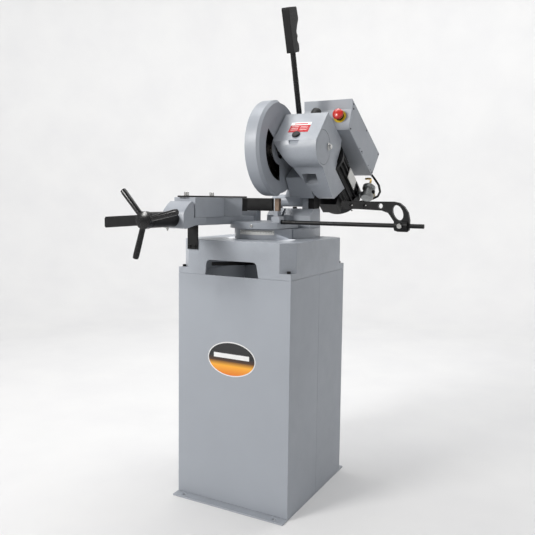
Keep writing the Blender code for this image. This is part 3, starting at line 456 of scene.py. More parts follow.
# ---------------------------------------------------------------- cabinet and tray
def cabinet(paint):
    plate = make("cabinet_base", paint, None, add_block, (-HALF_W, HALF_W), (-HALF_D - FOOT, HALF_D + FOOT),
                 (0, BASE_T))

    def anchor_holes(mesh):
        for x in (-0.170, 0.170):
            for y in (-HALF_D - FOOT / 2, HALF_D + FOOT / 2):
                add_rod(mesh, 0.006, "Z", (x, y), -0.01, 0.02, 12)
    cut(plate, anchor_holes)

    for name, front in (("cabinet_front_shell", -1), ("cabinet_rear_shell", 1)):
        seam = GAP / 2 * front
        outline = [
            (-HALF_W, seam), (-HALF_W, front * HALF_D), (HALF_W, front * HALF_D), (HALF_W, seam),
            (HALF_W - SHEET, seam), (HALF_W - SHEET, front * (HALF_D - SHEET)),
            (SHEET - HALF_W, front * (HALF_D - SHEET)), (SHEET - HALF_W, seam),
        ]
        make(name, paint, None, add_prism, outline, "Z", BASE_T + GAP, CABINET_TOP - GAP)


def coolant_tank(grey):
    tank = make("coolant_tank", grey, None, add_block, (-0.150, 0.120), (-0.02, 0.180), (BASE_T + GAP, 0.150))
    cut(tank, add_block, (-0.147, 0.117), (-0.017, 0.177), (0.009, 0.20))


def tray(paint):
    casting = make("base_tray", paint, None, add_prism, chamfered(HALF_W, HALF_D, CHAMFER), "Z",
                   FLANGE_TOP - 0.002, TRAY_TOP)
    fuse(casting, add_block, (-HALF_W, HALF_W), (-HALF_D, HALF_D), (CABINET_TOP, FLANGE_TOP))
    inside = chamfered(HALF_W - TRAY_WALL, HALF_D - TRAY_WALL, CHAMFER)
    cut(casting, add_prism, inside, "Z", CABINET_TOP - 0.01, TRAY_TOP - 0.012)
    fuse(casting, add_rod, 0.008, "Z", (0.040, -0.070), 0.774, TRAY_TOP - 0.006, 16)

    def window(m):
        top = 0.804
        outline = [(-0.104, CABINET_TOP - 0.02), (0.098, CABINET_TOP - 0.02)]
        outline += arc((0.074, top - 0.014), 0.014, 0, 90, 4)
        outline += arc((-0.085, top - 0.014), 0.014, 90, 180, 4)
        add_prism(m, outline, "Y", -HALF_D - 0.02, -HALF_D + 0.03)
    cut(casting, window)
    cut(casting, add_rod, COLUMN_R + GAP, "Z", (0, 0), TRAY_TOP - 0.03, TRAY_TOP + 0.02)


def strap(black):
    face = -HALF_D - GAP
    outline = [
        (face, 0.836), (face, BED_LOW - GAP), (face - 0.020, BED_LOW - GAP), (face - 0.020, BED_LOW - 0.005),
        (face - 0.005, BED_LOW - 0.005), (face - 0.005, 0.836),
    ]
    make("vise_strap", black, None, add_prism, outline, "X", -0.169, -0.129)


def swivel_lock(black):
    """The lever turns on a boss under the tray's roof and swings in the front window."""
    pivot = (0.040, -0.070)
    lever = make("swivel_lock_lever", black, None, add_tube, 0.017, 0.0083, "Z", pivot, 0.778, 0.802, 20)
    tip = Vector((-0.084, -0.207))
    along = (tip - Vector(pivot)).normalized()
    side = Vector((-along.y, along.x))

    def bar(m):
        start = Vector(pivot) + along * 0.012
        outline = [start + side * 0.008, start - side * 0.008, tip - side * 0.005, tip + side * 0.005]
        add_prism(m, [tuple(p) for p in outline], "Z", 0.784, 0.796)
    fuse(lever, bar)


# ---------------------------------------------------------------- swivelling support
def column(steel):
    low = TRAY_TOP - 0.045
    make("swivel_column", steel, None, add_turned,
         [(0, low), (0.040, low), (0.040, TRAY_TOP - 0.012 - GAP), (COLUMN_R, TRAY_TOP - 0.012 - GAP),
          (COLUMN_R, DISC_LOW - GAP), (0, DISC_LOW - GAP)], "Z", (0, 0), 32)


def support(paint):
    """Graduated ring, foot and two hinge ears in one casting."""
    low = TRAY_TOP + GAP
    casting = make("head_support", paint, None, add_tube, RING_R, COLUMN_R + GAP, "Z", (0, 0), low, RING_TOP,
                   36)
    foot = [(-0.088, 0.040), (0.108, 0.000), (0.128, 0.060), (0.128, 0.130), (0.111, 0.224), (-0.070, 0.224),
            (-0.088, 0.140)]
    fuse(casting, add_prism, foot, "Z", low, RING_TOP - 0.002)
    upright = [(0.132, 0.890), (0.224, 0.890), (0.218, 0.968), (0.158, 0.968), (0.132, 0.944)]
    fuse(casting, add_prism, upright, "X", -0.063, 0.111)
    for x_low, x_high in ((-0.063, -0.040), (0.064, 0.087)):
        ear = [(PIVOT_Y - BARREL_R - 0.006, 0.950), (PIVOT_Y + BARREL_R + 0.006, 0.950)]
        ear += arc((PIVOT_Y, PIVOT_Z), BARREL_R, 0, 180, 10)
        fuse(casting, add_prism, ear, "X", x_low, x_high)
    cut(casting, add_rod, PIN_R + GAP, "X", (PIVOT_Y, PIVOT_Z), -0.08, 0.10)
    cut(casting, add_block, (-0.005, 0.005), (0.120, 0.160), (RING_TOP + 0.004, 0.98))
    cut(casting, add_rod, COLUMN_R + GAP, "Z", (0, 0), low - 0.01, RING_TOP + 0.01)


def hinge_pin(steel):
    low, high = -0.068, 0.107
    make("hinge_pin", steel, None, add_turned,
         [(0, low), (0.017, low), (0.017, -0.0635), (PIN_R, -0.0635), (PIN_R, high - 0.001),
          (PIN_R - 0.001, high), (0, high)], "X", (PIVOT_Y, PIVOT_Z), 24)


def spring_set(black, steel):
    """A torsion spring round the pin's end, in its black housing on the support."""
    outline = rectangle((PIVOT_Y - 0.025, PIVOT_Y + 0.025), (0.9685, 1.0195))
    body = make("spring_housing", black, None, add_prism, outline, "X", 0.087 + GAP, 0.111)
    cut(body, add_rod, 0.0205, "X", (PIVOT_Y, PIVOT_Z), 0.08, 0.109)
    coil = bmesh.new()
    turns, steps, wire, radius = 4, 12, 0.0014, 0.0168
    path = []
    for step in range(turns * steps + 1):
        angle = 2 * math.pi * step / steps
        path.append((0.0905 + 0.0155 * step / (turns * steps), PIVOT_Y + radius * math.cos(angle),
                     PIVOT_Z + radius * math.sin(angle)))
    add_sweep(coil, path, wire, 5)
    finish("return_spring", coil, steel)


def stop_bolt(black):
    make("depth_stop_bolt", black, None, add_rod, 0.009, "Z", (0.022, PIVOT_Y), 0.968 + GAP,
         PIVOT_Z - BARREL_R - 0.0008, 6)


# ---------------------------------------------------------------- vise and work stop
def vise_bed(paint):
    bed = make("vise_bed", paint, None, add_rod, DISC_R, "Z", (0, 0), DISC_LOW, DISC_TOP, 40)
    arm = [(-0.172, BED_FRONT), (-0.106, BED_FRONT), (-0.092, -0.100), (-0.076, -0.052), (-0.050, 0.010),
           (-0.104, 0.020), (-0.150, -0.070)]
    fuse(bed, add_prism, arm, "Z", BED_LOW, BED_TOP)
    seat = REST_Z - GAP
    block = [(-0.128, 0.045), (-0.058, 0.045), (-0.058, 0.074), (-0.104, 0.074)]
    fuse(bed, add_prism, block, "Z", 0.918, seat)
    fuse(bed, add_block, (0.005, 0.0215), (0.052, 0.079), (0.910, seat))
    fuse(bed, add_block, (0.058, 0.0885), (-0.066, -0.034), (0.910, 0.944))
    cut(bed, add_rod, ROD_R + 0.0005, "X", (ROD_Y, ROD_Z), 0.070, 0.14, 12)
    cut(bed, add_block, (0.0885, 0.14), (-0.13, 0.13), (0.89, 0.96))
    cut(bed, add_block, (SCREW_X - 0.012, SCREW_X + 0.012), (-0.30, -0.055), (0.9275, 0.96))
    cut(bed, add_block, (-0.003, 0.003), (-0.112, 0.112), (0.919, 0.93))


def jaws(black, raw):
    make("fixed_jaw", black, None, add_block, (-0.122, -0.005), (FIXED_JAW_Y, 0.075), (REST_Z, JAW_TOP))
    make("wear_block", raw, None, add_block, (0.005, 0.0215), (FIXED_JAW_Y, 0.078), (REST_Z, JAW_TOP))
    back = MOVING_JAW_Y - 0.012
    outline = [(-0.185, MOVING_JAW_Y), (-0.185, back), (-0.060, back), (-0.048, MOVING_JAW_Y)]
    make("moving_jaw", black, None, add_prism, outline, "Z", REST_Z, JAW_TOP)
    outline = [(-0.185, MOVING_JAW_Y), (-0.185, -0.066), (-0.146, -0.110), (-0.146, -0.312), (-0.112, -0.312),
               (-0.112, -0.110), (-0.052, -0.046), (-0.050, MOVING_JAW_Y)]
    make("anti_burr_plate", black, None, add_prism, outline, "Z", JAW_TOP + GAP, JAW_TOP + 0.0055)


def vise_slide(paint, steel):
    back = MOVING_JAW_Y - 0.012 - GAP
    outline = [(-0.180, back), (-0.180, -0.100), (-0.165, -0.122), (-0.165, -0.302), (-0.085, -0.302),
               (-0.087, -0.130), (-0.110, -0.102), (-0.062, back)]
    slide = make("vise_slide", paint, None, add_prism, outline, "Z", BED_TOP + GAP, JAW_TOP)
    cut(slide, add_rod, SCREW_R + 0.0008, "Y", (SCREW_X, SCREW_Z), -0.32, -0.056, 16)
    low = JAW_TOP + 0.0055 + GAP
    for name, y in (("slide_bolt_rear", -0.147), ("slide_bolt_front", -0.293)):
        head = [(0, low), (0.008, low), (0.008, low + 0.011), (0.0045, low + 0.011), (0.0045, low + 0.005),
                (0, low + 0.005)]
        make(name, steel, None, add_turned, head, "Z", (SCREW_X, y), 16)


def screw_housing(paint):
    """Fixed casting that closes the bed's front end and carries the screw's sleeve."""
    outline = [(BED_FRONT - GAP, 0.923), (BED_FRONT - GAP, BED_TOP), (-0.308, BED_TOP), (-0.3105, 0.990),
               (-0.322, 0.993), (-0.338, 0.984), (-0.358, 0.966), (-0.364, 0.955), (-0.364, 0.912),
               (-0.350, 0.909),
               (-0.300, 0.918)]
    housing = make("screw_housing", paint, None, add_prism, outline, "X", -0.165, -0.085)
    cut(housing, add_rod, SCREW_R + 0.0008, "Y", (SCREW_X, SCREW_Z), -0.40, -0.20, 16)


def screw_sleeve(black):
    inner = SCREW_R + 0.0008
    profile = [(inner, -0.4835), (0.021, -0.4835), (0.0235, -0.480), (0.0235, -0.366), (0.0235, -0.3643),
               (inner, -0.3643)]
    make("screw_sleeve", black, None, add_turned, profile, "Y", (SCREW_X, SCREW_Z), 24)


def vise_screw(steel, black):
    make("vise_screw", steel, None, add_rod, SCREW_R, "Y", (SCREW_X, SCREW_Z), -0.4898, -0.062, 20)
    wheel = make("vise_handwheel", black, None, add_turned,
                 [(0, -0.514), (0.014, -0.514), (0.026, -0.509), (0.026, -0.4901), (0, -0.4901)], "Y",
                 (SCREW_X, SCREW_Z), 24)
    for spoke in range(3):
        angle = math.radians(13 + 120 * spoke)
        way = Vector((math.cos(angle), 0, math.sin(angle)))
        turn = Vector((0, 0, 1)).rotation_difference(way).to_matrix().to_4x4()
        start = Vector((SCREW_X, -0.500, SCREW_Z))

        def bar(m, turn=turn, start=start):
            profile = [(0, 0.010), (0.0082, 0.010), (0.0094, 0.108), (0.0082, 0.117), (0, 0.117)]
            add_turned(m, profile, "Z", (0, 0), 12)
            bmesh.ops.transform(m, matrix=Matrix.Translation(start) @ turn, verts=m.verts)
        fuse(wheel, bar)


def quick_lever(black):
    low, high = -0.4895, -0.4838
    lever = make("quick_lock_lever", black, None, add_tube, 0.024, SCREW_R + 0.0006, "Y", (SCREW_X, SCREW_Z),
                 low, high, 24)
    outline = [(SCREW_X - 0.015, SCREW_Z - 0.0155), (SCREW_X - 0.015, SCREW_Z + 0.0155),
               (SCREW_X - 0.157, SCREW_Z + 0.0065), (SCREW_X - 0.161, SCREW_Z + 0.001),
               (SCREW_X - 0.161, SCREW_Z - 0.022), (SCREW_X - 0.157, SCREW_Z - 0.0265)]
    fuse(lever, add_prism, outline, "Y", low, high)


def work_stop(black, steel):
    make("stop_rod", black, None, add_rod, ROD_R, "X", (ROD_Y, ROD_Z), 0.070 + GAP, ROD_END, 16)

    outline = [(0.518, 0.914), (0.512, 0.908), (0.482, 0.908), (0.470, 0.920)]
    outline += [(0.472, 0.938), (0.453, 0.964), (0.433, 0.971), (0.360, 0.974), (0.312, 0.974), (0.300, 0.984),
                (0.302, 0.998), (0.470, 0.999), (0.488, 0.995), (0.503, 0.983), (0.514, 0.966), (0.519, 0.944)]
    half = 0.007
    arm = make("stop_arm", black, None, add_prism, outline, "Y", ROD_Y - half, ROD_Y + half)
    fuse(arm, add_rod, 0.0165, "X", (ROD_Y, ROD_Z), 0.474, 0.514, 16)
    cut(arm, add_rod, ROD_R + 0.0004, "X", (ROD_Y, ROD_Z), 0.44, 0.55, 16)

    def holes(m):
        lean = math.radians(115)
        oval = []
        for step in range(20):
            turn = 2 * math.pi * step / 20
            u, v = 0.0245 * math.cos(turn), 0.0155 * math.sin(turn)
            oval.append((0.483 + u * math.cos(lean) - v * math.sin(lean),
                         0.9655 + u * math.sin(lean) + v * math.cos(lean)))
        add_prism(m, oval, "Y", ROD_Y - 0.02, ROD_Y + 0.02)
        for x in (0.428, 0.381, 0.336):
            add_rod(m, 0.0078, "Y", (x, 0.985), ROD_Y - 0.02, ROD_Y + 0.02, 12)
    cut(arm, holes)

    low = ROD_Y - 0.0165 - GAP
    profile = [(0, low - 0.012), (0.0075, low - 0.012), (0.0075, low), (0, low)]
    make("stop_clamp_screw", steel, None, add_turned, profile, "Y", (0.494, ROD_Z), 12)


# ---------------------------------------------------------------- head casting and gears
def head_casting(paint, head):
    """Gearbox, the arm to the hinge and the hinge barrel in one hollow casting."""
    worm_z = BLADE_Z + WORM_OFFSET
    outline = [(-0.255, 0.189), (-0.103, 0.195), (-0.0905, 0.160), (-0.0905, 0.105), (0.040, 0.095),
               (-0.030, -0.010), (-0.049, -0.017)]
    outline += arc((BLADE_Y, BLADE_Z), BELLY_R, -60, -163, 9)
    casting = make("head_casting", paint, head, add_prism, outline, "X", CASE_LEFT, CASE_RIGHT)

    def slant(m):
        """The lower left side slants away from the blade towards the hinge."""
        add_block(m, (-0.4, 0.4), (-0.4, 0.4), (-0.4, 0))
        turn = Vector((0, 0, 1)).rotation_difference(Vector((0.833, -0.209, 0.516))).to_matrix().to_4x4()
        bmesh.ops.transform(m, matrix=Matrix.Translation((CASE_LEFT, -0.277, 0.052)) @ turn, verts=m.verts)
    cut(casting, slant)
    wide_arm = [(-0.042, -0.018), (-0.042, 0.066), (-0.062, 0.092), (-0.100, 0.080), (-0.125, 0.012),
                (-0.060, -0.016)]
    fuse(casting, add_prism, wide_arm, "X", 0.030, 0.118)
    narrow_arm = [(0.004, -0.0205), (0.016, 0.014), (-0.034, 0.064), (-0.052, 0.062), (-0.052, -0.0205)]
    fuse(casting, add_prism, narrow_arm, "X", 0.008, 0.062)
    fuse(casting, add_rod, BARREL_R, "X", (0, 0), -0.0397, 0.0637)
    cut(casting, add_rod, PIN_R + 0.0005, "X", (0, 0), -0.06, 0.08, 24)
    centre = (BLADE_Y, BLADE_Z)
    hollow = [(0, 0.0), (0.0261, 0.0), (0.0261, 0.080), (0.0551, 0.080), (0.0551, 0.1812), (0.0588, 0.1812),
              (0.0588, 0.21), (0, 0.21)]
    cut(casting, add_turned, hollow, "X", centre, 30, 3)
    cut(casting, add_rod, 0.0205, "Y", (WORM_X, worm_z), -0.240, -0.05, 24)
    cut(casting, add_rod, MOTOR_R + 0.0045, "Y", (WORM_X, worm_z), MOTOR_FRONT - GAP, 0.20, 36)
    cut(casting, add_block, (0.104, 0.156), (-0.152, -0.106), (-0.05, 0.092))

    def recess(m):
        """U-shaped scoop that runs down from the filler plug over the belly."""
        scoop = [(0.089, 0.0535), (0.127, 0.0535)] + arc((0.108, 0.0500), 0.0185, -4, -176, 12)
        add_prism(m, scoop, "Y", -0.290, -0.2715)
    cut(casting, recess)


def gear_cover(paint, steel, black, head):
    centre = (BLADE_Y, BLADE_Z)
    profile = [(0, CASE_RIGHT), (0.0577, CASE_RIGHT), (0.0577, 0.182), (0.032, 0.182), (0.032, 0.166),
               (0.0262, 0.166), (0.0262, 0.1815), (0, 0.1815)]
    make("gear_cover", paint, head, add_turned, profile, "X", centre, 32)

    low = CASE_RIGHT + GAP
    bolt = (-0.181, 0.100)
    profile = [(0, low), (0.0125, low), (0.0125, low + 0.002), (0.0095, low + 0.002), (0.0085, low + 0.010),
               (0, low + 0.010)]
    make("level_plug", steel, head, add_turned, profile, "X", bolt, 16)

    # black filler plug on the slanted front face
    along = (FACE_LOW - FACE_TOP).normalized()
    spot = FACE_TOP + along * 0.112
    turn = Matrix(((1, 0, 0), (0, along.y, along.x), (0, -along.x, along.y))).to_3x3()
    seat = empty("filler_axis", (0.108, spot.x, spot.y), turn, head)
    make("filler_plug", black, seat, add_turned,
         [(0, 0.0006), (0.014, 0.0006), (0.014, 0.004), (0.013, 0.006), (0, 0.006)], "Y", (0, 0), 20)

    roof = 0.1945
    profile = [(0, roof), (0.019, roof), (0.019, roof + 0.034), (0.016, roof + 0.045), (0.008, roof + 0.049),
               (0, roof + 0.049)]
    make("oil_breather", black, head, add_turned, profile, "Z", (0.120, -0.212), 20)


def drive(steel, bronze, blade_steel, head):
    centre = (BLADE_Y, BLADE_Z)
    half = BLADE_T / 2
    profile = [(0, -0.0090), (0.010, -0.0090), (0.010, half + GAP), (0.030, half + GAP), (0.030, 0.016),
               (0.0185, 0.022), (0.0125, 0.024), (0.0125, 0.1795), (0, 0.1795)]
    make("spindle", steel, head, add_turned, profile, "X", centre, 28)

    mesh = bmesh.new()
    teeth = 56
    outline = []
    for tooth in range(teeth):
        angle = 360 / teeth * tooth
        outline += arc(centre, BLADE_R, angle, angle + 0.9, 1)
        outline += arc(centre, BLADE_R - 0.0050, angle + 3.2, angle + 3.2, 1)[:1]
    add_prism(mesh, outline, "X", -half, half)
    blade = finish("blade", mesh, blade_steel, head, smooth=False)
    cut(blade, add_rod, 0.0103, "X", centre, -0.01, 0.01, 24)

    make("blade_flange", steel, head, add_turned,
         [(0.0103, -half - GAP), (0.030, -half - GAP), (0.030, -0.0065), (0.026, -0.0088), (0.0103, -0.0088)],
         "X", centre, 28)
    make("blade_bolt", steel, head, add_rod, 0.0115, "X", centre, -0.0135, -0.0093, 6)

    mesh = bmesh.new()
    outline = []
    teeth = 36
    for tooth in range(teeth):
        angle = 360 / teeth * tooth
        outline += arc(centre, 0.0415, angle - 1.6, angle + 1.6, 1)
        outline += arc(centre, 0.0385, angle + 3.2, angle + 6.8, 1)
    add_prism(mesh, outline, "X", WORM_X - 0.014, WORM_X + 0.014)
    wheel = finish("worm_wheel", mesh, bronze, head)
    cut(wheel, add_rod, 0.0128, "X", centre, 0.10, 0.15, 28)

    worm = (WORM_X, BLADE_Z + WORM_OFFSET)
    for name, low, high in (("spindle_bearing_left", 0.040, 0.055), ("spindle_bearing_right", 0.1665, 0.179)):
        make(name, steel, head, add_tube, 0.0257, 0.0128, "X", centre, low, high, 24)

    mesh = bmesh.new()
    thread_start, pitch = -0.2435 + 0.006, 0.0075
    profile = [(0, -0.238), (0.0105, -0.238)]
    for ridge in range(6):
        base = thread_start + pitch * ridge
        profile += [(0.0105, base + 0.001), (0.0150, base + 0.0028), (0.0150, base + 0.0042),
                    (0.0105, base + 0.006)]
    profile += [(0.0105, -0.092), (0.0105, MOTOR_FRONT + 0.006), (0, MOTOR_FRONT + 0.006)]
    add_turned(mesh, profile, "Y", worm, 14)
    finish("worm_shaft", mesh, steel, head)


# ---------------------------------------------------------------- guards
def rear_guard(paint, head):
    """Cover fixed to the gearbox: a rim, a right wall with an open front, and a left wall."""
    centre = (BLADE_Y, BLADE_Z)
    lean = 35
    right, left = (0.0230, 0.0255), (-0.0170, -0.0145)
    outer, inner = 0.1555, 0.1530
    profile = [(0.0092, left[0]), (outer, left[0]), (outer, right[1]), (0.040, right[1]), (0.040, right[0]),
               (inner, right[0]), (inner, left[1]), (0.0092, left[1])]
    guard = make("rear_guard", paint, head, add_turned, profile, "X", centre, 36, -60 + lean, 172)
    skin = 0.0002
    fuse(guard, add_turned,
         [(0.041, right[0] + skin), (outer - skin, right[0] + skin), (outer - skin, right[1] - skin),
          (0.041, right[1] - skin)], "X", centre, 40, -88 + lean, 232)
    fuse(guard, add_tube, 0.045, 0.0095, "X", centre, left[0] + skin, left[1] - skin, 27)
    fuse(guard, add_tube, 0.056, 0.036, "X", centre, right[0] + skin, CASE_LEFT - GAP, 29)


def front_guard(paint, head):
    """Swinging crescent over the blade's front, with a bevelled rim, hung on its shoulder bolt."""
    centre = (BLADE_Y, BLADE_Z)
    lean = 35
    bore = 0.0085
    left, right, wall = -0.0220, 0.0295, 0.0026
    profile = [(bore, left), (0.165, left), (0.165, 0.020), (0.157, right), (0.112, right),
               (0.112, right - wall),
               (0.156, right - wall), (0.165 - wall, 0.0192), (0.165 - wall, left + wall), (bore, left + wall)]
    guard = make("front_guard", paint, head, add_turned, profile, "X", centre, 40, GUARD_LOW + lean,
                 GUARD_HIGH - GUARD_LOW)
    fuse(guard, add_tube, 0.030, bore + 0.0004, "X", centre, left + 0.0001, left + wall - 0.0001, 28)


def guard_bolt(black, head):
    profile = [(0, -0.0285), (0.013, -0.0285), (0.013, -0.0225), (0.0080, -0.0225), (0.0080, -0.0149),
               (0, -0.0149)]
    make("guard_pivot_bolt", black, head, add_turned, profile, "X", (BLADE_Y, BLADE_Z), 20)


# ---------------------------------------------------------------- motor
def motor(black, steel, head):
    worm = (WORM_X, BLADE_Z + WORM_OFFSET)
    mesh = bmesh.new()
    fins = 22
    outline = []
    for fin in range(fins):
        angle = 360 / fins * fin
        outline += arc(worm, MOTOR_R, angle - 1.6, angle + 1.6, 1)
        outline += arc(worm, MOTOR_R - 0.008, angle + 3.2, angle + 360 / fins - 3.2, 1)
    add_prism(mesh, outline, "Y", MOTOR_FRONT + 0.010, MOTOR_REAR)
    frame = finish("motor_frame", mesh, black, head)
    fuse(frame, add_rod, MOTOR_R + 0.002, "Y", worm, MOTOR_FRONT, MOTOR_FRONT + 0.012, 36)
    fuse(frame, add_block, (WORM_X - 0.035, WORM_X + 0.035), (0.058, 0.112), (worm[1] - 0.102, worm[1] - 0.06))
    fuse(frame, add_block, (WORM_X - 0.040, WORM_X + 0.040), (-0.055, 0.055), (worm[1] + 0.060, 0.2168))
    cut(frame, add_rod, 0.046, "Y", worm, MOTOR_FRONT + 0.012, MOTOR_REAR + 0.02, 28)
    cut(frame, add_rod, 0.014, "Y", worm, MOTOR_FRONT - 0.02, MOTOR_REAR, 20)

    rear = 0.172
    profile = [(0.0765, MOTOR_REAR + GAP), (0.079, MOTOR_REAR + GAP), (0.079, rear - 0.014), (0.068, rear),
               (0.012, rear), (0.012, rear - 0.0025), (0.067, rear - 0.0025), (0.0765, rear - 0.0145)]
    make("fan_cover", black, head, add_turned, profile, "Y", worm, 36)

    profile = [(0, MOTOR_FRONT + 0.0065), (0.010, MOTOR_FRONT + 0.0065), (0.010, MOTOR_FRONT + 0.020),
               (0.040, MOTOR_FRONT + 0.020), (0.040, 0.100), (0.010, 0.101), (0.010, 0.1335), (0, 0.1335)]
    make("motor_rotor", steel, head, add_turned, profile, "Y", worm, 28)
    fan = make("cooling_fan", black, head, add_rod, 0.018, "Y", worm, 0.1338, 0.152, 20)
    for blade in range(6):
        turn = Matrix.Rotation(math.radians(60 * blade), 4, "Y")

        def vane(m, turn=turn):
            add_block(m, (0.014, 0.066), (0.136, 0.150), (-0.0015, 0.0015))
            move = Matrix.Translation((worm[0], 0, worm[1])) @ turn
            bmesh.ops.transform(m, matrix=move, verts=m.verts)
        fuse(fan, vane)


# ---------------------------------------------------------------- control box, lever and services
BOX_OUTLINE = [(-0.1363, 0.2122), (-0.1582, 0.2921), (-0.1795, 0.3174), (0.1783, 0.3556), (0.1597, 0.2339)]


def inset(outline, distance):
    """Move each side of a convex outline inwards."""
    count = len(outline)
    middle = Vector((sum(p[0] for p in outline) / count, sum(p[1] for p in outline) / count))
    lines = []
    for index in range(count):
        start, end = Vector(outline[index]), Vector(outline[(index + 1) % count])
        normal = Vector((-(end - start).y, (end - start).x)).normalized()
        if (middle - start).dot(normal) < 0:
            normal = -normal
        lines.append((start + normal * distance, end - start))
    points = []
    for index in range(count):
        (p, d), (q, e) = lines[index - 1], lines[index]
        cross = d.x * e.y - d.y * e.x
        t = ((q - p).x * e.y - (q - p).y * e.x) / cross
        points.append(tuple(p + d * t))
    return points


def control_box(paint, black, yellow, red, head):
    box = make("control_box", paint, head, add_prism, BOX_OUTLINE, "X", BOX_LEFT, BOX_RIGHT - 0.0026)
    cut(box, add_prism, inset(BOX_OUTLINE, 0.002), "X", BOX_LEFT + 0.002, 0.25)
    make("control_box_cover", paint, head, add_prism, BOX_OUTLINE, "X", BOX_RIGHT - 0.0023, BOX_RIGHT)
    make("contactor", black, head, add_block, (0.060, 0.150), (0.000, 0.080), (0.240, 0.300))
    low, high = Vector(BOX_OUTLINE[0]), Vector(BOX_OUTLINE[1])
    up = (high - low).normalized()
    spot = low + up * STOP_UP
    out = Vector((-up.y, up.x))
    # local Z is the panel's outward normal
    turn = Matrix(((1, 0, 0), (0, up.x, out.x), (0, up.y, out.y)))
    if turn.determinant() < 0:
        turn = Matrix(((-1, 0, 0), (0, up.x, out.x), (0, up.y, out.y)))
    seat = empty("estop_axis", (STOP_X, spot.x, spot.y), turn, head)
    combine(box, "DIFFERENCE", lambda m: add_rod(m, 0.0115, "Z", (0, 0), -0.02, 0.02, 16), seat)
    collar = make("estop_collar", yellow, seat, add_tube, 0.0235, 0.0083, "Z", (0, 0), GAP, 0.0022, 24)
    fuse(collar, add_tube, 0.0150, 0.0083, "Z", (0, 0), 0.001, 0.0100, 24)
    profile = [(0, -0.004), (0.0078, -0.004), (0.0078, 0.0165), (0.0120, 0.0175), (0.0195, 0.0190),
               (0.0205, 0.0220),
               (0.0185, 0.0275), (0.0110, 0.0315), (0, 0.0330)]
    make("estop_button", red, seat, add_turned, profile, "Z", (0, 0), 24)


def lever(black, rubber, head):
    foot = Vector((LEVER_X, *LEVER_FOOT))
    tip = Vector((LEVER_X, *LEVER_TIP))
    way = (tip - foot).normalized()
    length = (tip - foot).length
    # local Z runs up the lever, local Y points to the rear of the saw
    rear = Vector((0, way.z, -way.y))
    turn = Matrix(((1, 0, 0), (0, rear.y, way.y), (0, rear.z, way.z)))
    seat = empty("lever_axis", foot, turn, head)

    outline = [(-0.222, 0.1925), (-0.168, 0.1945), (-0.172, 0.206), (-0.186, 0.220), (-0.204, 0.218),
               (-0.218, 0.203)]
    bracket = make("lever_bracket", black, head, add_prism, outline, "X", LEVER_X - 0.016, LEVER_X + 0.016)
    combine(bracket, "DIFFERENCE", lambda m: add_rod(m, 0.0098, "Z", (0, 0), 0.0135, 0.08, 16), seat)
    make("lever_rod", black, seat, add_rod, 0.0095, "Z", (0, 0), 0.014, length + 0.060, 16)

    grip_low = length
    mesh = bmesh.new()
    top = grip_low + GRIP_LENGTH
    outline = [(-0.020, grip_low), (0.022, grip_low), (0.027, grip_low + 0.008), (0.027, grip_low + 0.026)]
    for centre in (0.040, 0.066):
        outline += arc((0.029, grip_low + centre), 0.0115, -125, -235, 5)
    outline += [(0.025, grip_low + 0.082), (0.027, grip_low + 0.086), (0.039, grip_low + 0.102),
                (0.042, grip_low + 0.110), (0.037, top - 0.004), (0.033, top), (-0.022, top),
                (-0.026, top - 0.006)]
    add_prism(mesh, outline, "X", -0.014, 0.014)
    grip = finish("lever_grip", mesh, rubber, seat)
    cut(grip, add_rod, 0.0098, "Z", (0, 0), grip_low - 0.01, length + 0.0605, 20)
    cut(grip, add_block, (-0.0055, 0.0055), (0.018, 0.05), (grip_low + 0.080, grip_low + 0.110))
    outline = [(0.0195, grip_low + 0.1065), (0.0300, grip_low + 0.1065), (0.0300, grip_low + 0.098),
               (0.0335, grip_low + 0.088), (0.0330, grip_low + 0.0825), (0.0280, grip_low + 0.086),
               (0.0245, grip_low + 0.096)]
    make("trigger", black, seat, add_prism, outline, "X", -0.0045, 0.0045)


def services(steel, black, head):
    """Coolant valve beside the fan cover, and the motor lead from the control box."""
    profile = [(0, 0.112), (0.021, 0.112), (0.024, 0.116), (0.024, 0.130), (0.019, 0.133), (0.019, 0.150),
               (0.024, 0.153), (0.024, 0.166), (0.018, 0.171), (0, 0.171)]
    valve = make("coolant_valve", steel, head, add_turned, profile, "Z", (0.2345, 0.140), 24)
    fuse(valve, add_block, (0.2048, 0.225), (0.128, 0.150), (0.120, 0.136))
    path = [(0.2000, 0.1780, 0.2700), (0.2040, 0.1900, 0.2680), (0.2180, 0.2080, 0.2560),
            (0.2380, 0.2200, 0.2320),
            (0.2500, 0.2200, 0.2000), (0.2500, 0.2080, 0.1700), (0.2400, 0.1920, 0.1480),
            (0.2200, 0.1860, 0.1340),
            (0.1900, 0.1870, 0.1280), (0.1600, 0.1870, 0.1278), (0.1250, 0.1850, 0.1278),
            (0.1250, 0.1725, 0.1278)]
    make("motor_cable", black, head, add_sweep, path, 0.0045, 8)


# ---------------------------------------------------------------- pieces with no node of their own
def socket_screw(mesh, centre, direction, radius, height, flats=False):
    """A small screw head with its socket, standing on centre."""
    part = bmesh.new()
    deep = height * 0.55
    profile = [(0, 0), (radius, 0), (radius, height * 0.85), (radius * 0.88, height), (radius * 0.52, height),
               (radius * 0.52, height - deep), (0, height - deep)]
    if flats:
        profile = [(0, 0), (radius, 0), (radius, height), (0, height)]
    add_turned(part, profile, "Z", (0, 0), 6 if flats else 12)
    turn = Vector((0, 0, 1)).rotation_difference(Vector(direction)).to_matrix().to_4x4()
    bmesh.ops.transform(part, matrix=Matrix.Translation(centre) @ turn, verts=part.verts)
    data = bpy.data.meshes.new("screw")
    part.to_mesh(data)
    part.free()
    mesh.from_mesh(data)
    bpy.data.meshes.remove(data)


